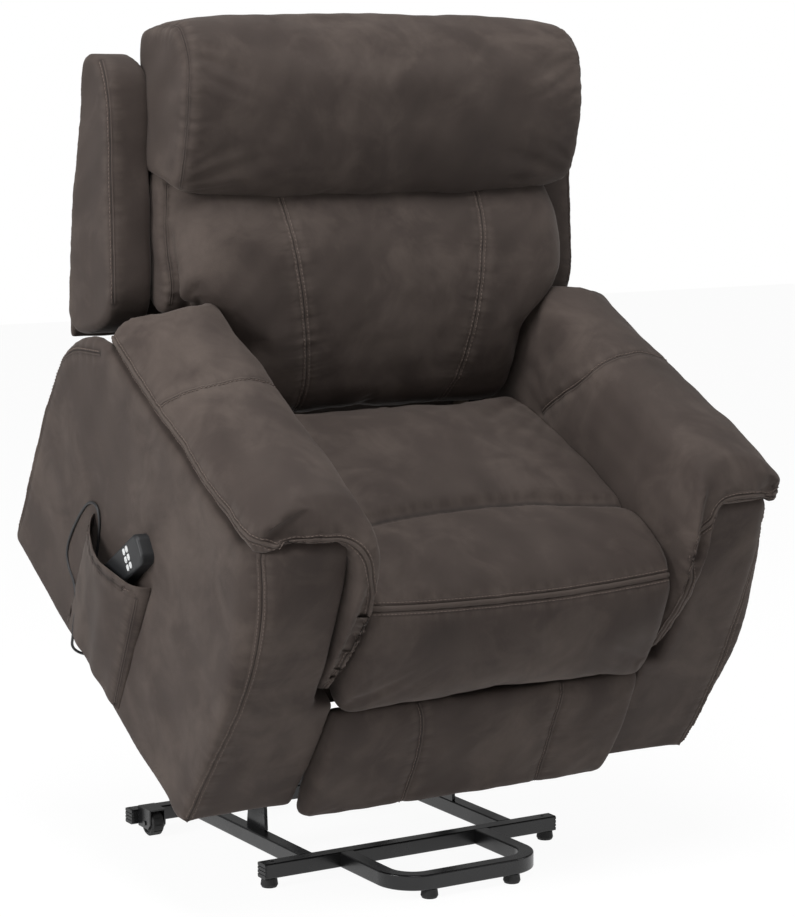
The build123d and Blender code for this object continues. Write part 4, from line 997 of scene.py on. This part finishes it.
for name, side in SIDES:
    box = mesh_object(f"arm_box_{name}_cover", [
        roll(front_side, *between(side, 318, 471), 11, waisted, corners=1),
        roll(low_side, *between(side, 283.5, 400), 5, corners=1),
        roll(panel_side, *between(side, 447, 471), 11, waisted, corners=1)])
    filled(box, 6.5, 3)
    box_seams = [
        Seam(mirrored(side, [
            (461, -2, 10), (460, -6, 40), (457, -16, 138), (448, -23, 220), (443, -25, 300), (443, -18, 363),
            (447, -8, 421), (454, 8, 465), (462, 26, 506)]),
            pull=2.2, pucker=1.2, width=9, style="twin", seed=71 + side),
        Seam([(side * 470, u, w) for u, w in (
            (570, 466), (612, 442), (648, 420), (684, 378), (690, 300), (690, 160), (690, 24))],
            pull=1.2, pucker=0.7, width=7, style="single", seed=81 + side)]
    finer(box)
    pull_seams(box, box_seams, ripple=1.6, wave=0.2, seed=84 + side)
    upholstered(box, "chair", [f"arm_side_panel_{name}", f"arm_front_panel_{name}"], box_seams)

# %% [markdown]
# Three flat covered panels close the rear of the body: one between the arms and one behind each arm.

# %% Rear panels
rear_side = [(680, 61), (680, 269), (695, 269), (695, 61)]
arm_rear_side = [(680.3, 1), (680.3, 379), (695, 379), (695, 1)]
for name, node, shells, seed in (
        ("rear_cover", "rear_panel", [roll(rear_side, -327, 327, 4, corners=1)], 91),
        ("arm_rear_covers", "arm_rear_panels", [
            roll(arm_rear_side, 327.6, 450.4, 4, corners=1),
            roll(arm_rear_side, -450.4, -327.6, 4, corners=1)], 93)):
    cover = mesh_object(name, shells)
    filled(cover, 5, 2)
    finer(cover)
    pull_seams(cover, [], ripple=1.0, wave=0.2, seed=seed)
    upholstered(cover, "chair", [node])

# %% [markdown]
# ## Side pocket
# A loose pocket of the same cloth is sewn to the outside of the right arm for the handset. Its mouth gapes at
# the front, where the handset stands, and its hem sags behind it.

# %% Pocket
POCKET_FRONT, POCKET_REAR = 250, 467
POCKET_LOW = 11
HEM = [(250, 258), (266, 252), (309, 243), (348, 232), (397, 221), (440, 222), (467, 234)]


def pocket_spot(across, up):
    """A point of the cloth: across runs from its front seam to its rear one, up from bottom to hem."""
    u = POCKET_FRONT + (POCKET_REAR - POCKET_FRONT) * across
    top = float(np.interp(u, *np.array(HEM).T))
    w = POCKET_LOW + (top - POCKET_LOW) * up
    belly = max(0.0, math.sin(math.pi * min(1.0, across ** 0.72))) ** 0.55
    bulge = (7 + 31 * up ** 0.9) * belly
    fold = (2.2 * math.sin(across * 19 + 2 * up) * (1 - up) + 1.4 * math.sin(across * 9 - 3 * up)) * belly
    return (-470.2 - max(0.3, bulge + fold), u, w)


WIDE, TALL = 46, 52
grid = [pocket_spot(a / WIDE, b / TALL) for b in range(TALL + 1) for a in range(WIDE + 1)]
pocket_mesh = bpy.data.meshes.new("pocket_cloth")
pocket_mesh.from_pydata([tuple(chair(*spot)) for spot in grid], [], [
    (b * (WIDE + 1) + a, (b + 1) * (WIDE + 1) + a, (b + 1) * (WIDE + 1) + a + 1, b * (WIDE + 1) + a + 1)
    for b in range(TALL) for a in range(WIDE)])
pocket = placed("pocket_cloth", pocket_mesh)
thick = pocket.modifiers.new("thick", "SOLIDIFY")
thick.thickness = 2.2 * MM
thick.offset = 0
round_edge = pocket.modifiers.new("round", "SUBSURF")
round_edge.levels = 1
baked(pocket)
pocket_seams = [Seam([pocket_spot(a / 20, 0.93) for a in range(1, 20)], pull=1.0, pucker=0.7, width=5,
                     style="single", seed=101)]
for across, seed in ((0.035, 102), (0.965, 103)):
    pocket_seams.append(Seam([pocket_spot(across, b / 10) for b in range(10)], pull=0.8, pucker=0.5, width=5,
                             style="plain", seed=seed))
pull_seams(pocket, pocket_seams, ripple=0.4, wave=0.06, seed=105)
upholstered(pocket, "chair", ["side_pocket"], pocket_seams)

# %% [markdown]
# ## Hard parts
# Everything that isn't padded keeps its modelled shape and only gets a finish: powder-coated steel with a
# slight orange peel, moulded black plastic, rubber, spring wire, plywood and the handset's matt shell.

# %% Finishes for the hard parts
def coated_steel():
    """Black powder coat, half gloss, with orange peel and a little dust."""
    coat = Finish("black_paint")
    dust = coat.noise(9, 4, 0.6).clipped(0.5, 0.8)
    peel = coat.bump(coat.noise(650, 2), 0.10, 0.0004)
    return coat.surface(base_color=coat.blend(dust, (0.006, 0.006, 0.007, 1), (0.014, 0.014, 0.015, 1)),
                        roughness=dust * 0.18 + 0.26, normal=peel, coat_weight=0.08, coat_roughness=0.2)


def moulded(name, dark, light, rough):
    """Textured plastic with fine spark-eroded grain."""
    plastic = Finish(name)
    cloud = plastic.noise(30, 3)
    grain = plastic.bump(plastic.noise(1400, 2), 0.12, 0.0003)
    return plastic.surface(base_color=plastic.blend(cloud, dark, light), roughness=cloud * 0.14 + rough,
                           normal=grain)


def rubber(name, shade):
    """Dull rubber, a little paler where it is scuffed."""
    compound = Finish(name)
    scuff = compound.noise(55, 4, 0.65).clipped(0.45, 0.75)
    grain = compound.bump(compound.noise(500, 3), 0.2, 0.0004)
    return compound.surface(
        base_color=compound.blend(scuff, (shade, shade, shade, 1), (shade * 2.2,) * 3 + (1,)),
        roughness=scuff * 0.12 + 0.68, normal=grain)


def spring_wire():
    """Drawn steel wire, slightly oiled."""
    wire = Finish("spring_steel")
    stain = wire.noise(80, 3)
    return wire.surface(base_color=wire.blend(stain, (0.30, 0.30, 0.31, 1), (0.42, 0.41, 0.40, 1)),
                        metallic=1.0, roughness=stain * 0.2 + 0.3)


def plywood():
    """Dark-stained plywood with long grain along the frame."""
    wood = Finish("frame_wood")
    stretched = wood.node("ShaderNodeVectorMath", {"operation": "MULTIPLY"},
                          {0: wood.place, 1: (1.2, 14.0, 14.0)}, "Vector")
    grain = wood.node("ShaderNodeTexNoise", {}, {"Vector": stretched, "Scale": 16.0, "Detail": 6.0,
                                                 "Roughness": 0.7, "Distortion": 0.6}, "Fac")
    figure = grain.clipped(0.3, 0.7)
    fibre = wood.bump(figure, 0.15, 0.0005)
    return wood.surface(base_color=wood.blend(figure, rgba(44, 35, 28), rgba(66, 53, 42)),
                        roughness=figure * 0.12 + 0.58, normal=fibre)


finishes = {
    "black_paint": coated_steel(),
    "black_plastic": moulded("black_plastic", (0.012, 0.012, 0.013, 1), (0.02, 0.02, 0.021, 1), 0.42),
    "foot_rubber": rubber("foot_rubber", 0.016),
    "wheel_rubber": rubber("wheel_rubber", 0.02),
    "spring_steel": spring_wire(),
    "frame_wood": plywood(),
    "handset_plastic": moulded("handset_plastic", rgba(27, 28, 30), rgba(35, 36, 38), 0.44),
    "button_plastic": moulded("button_plastic", rgba(205, 207, 208), rgba(222, 223, 222), 0.36),
}
for part in frame["record"]["subparts"]:
    if part["material_slot"] in finishes:
        node = nodes[part["node"]]
        node.data.materials.clear()
        node.data.materials.append(finishes[part["material_slot"]])
print("finishes on hard parts:", sorted(finishes))
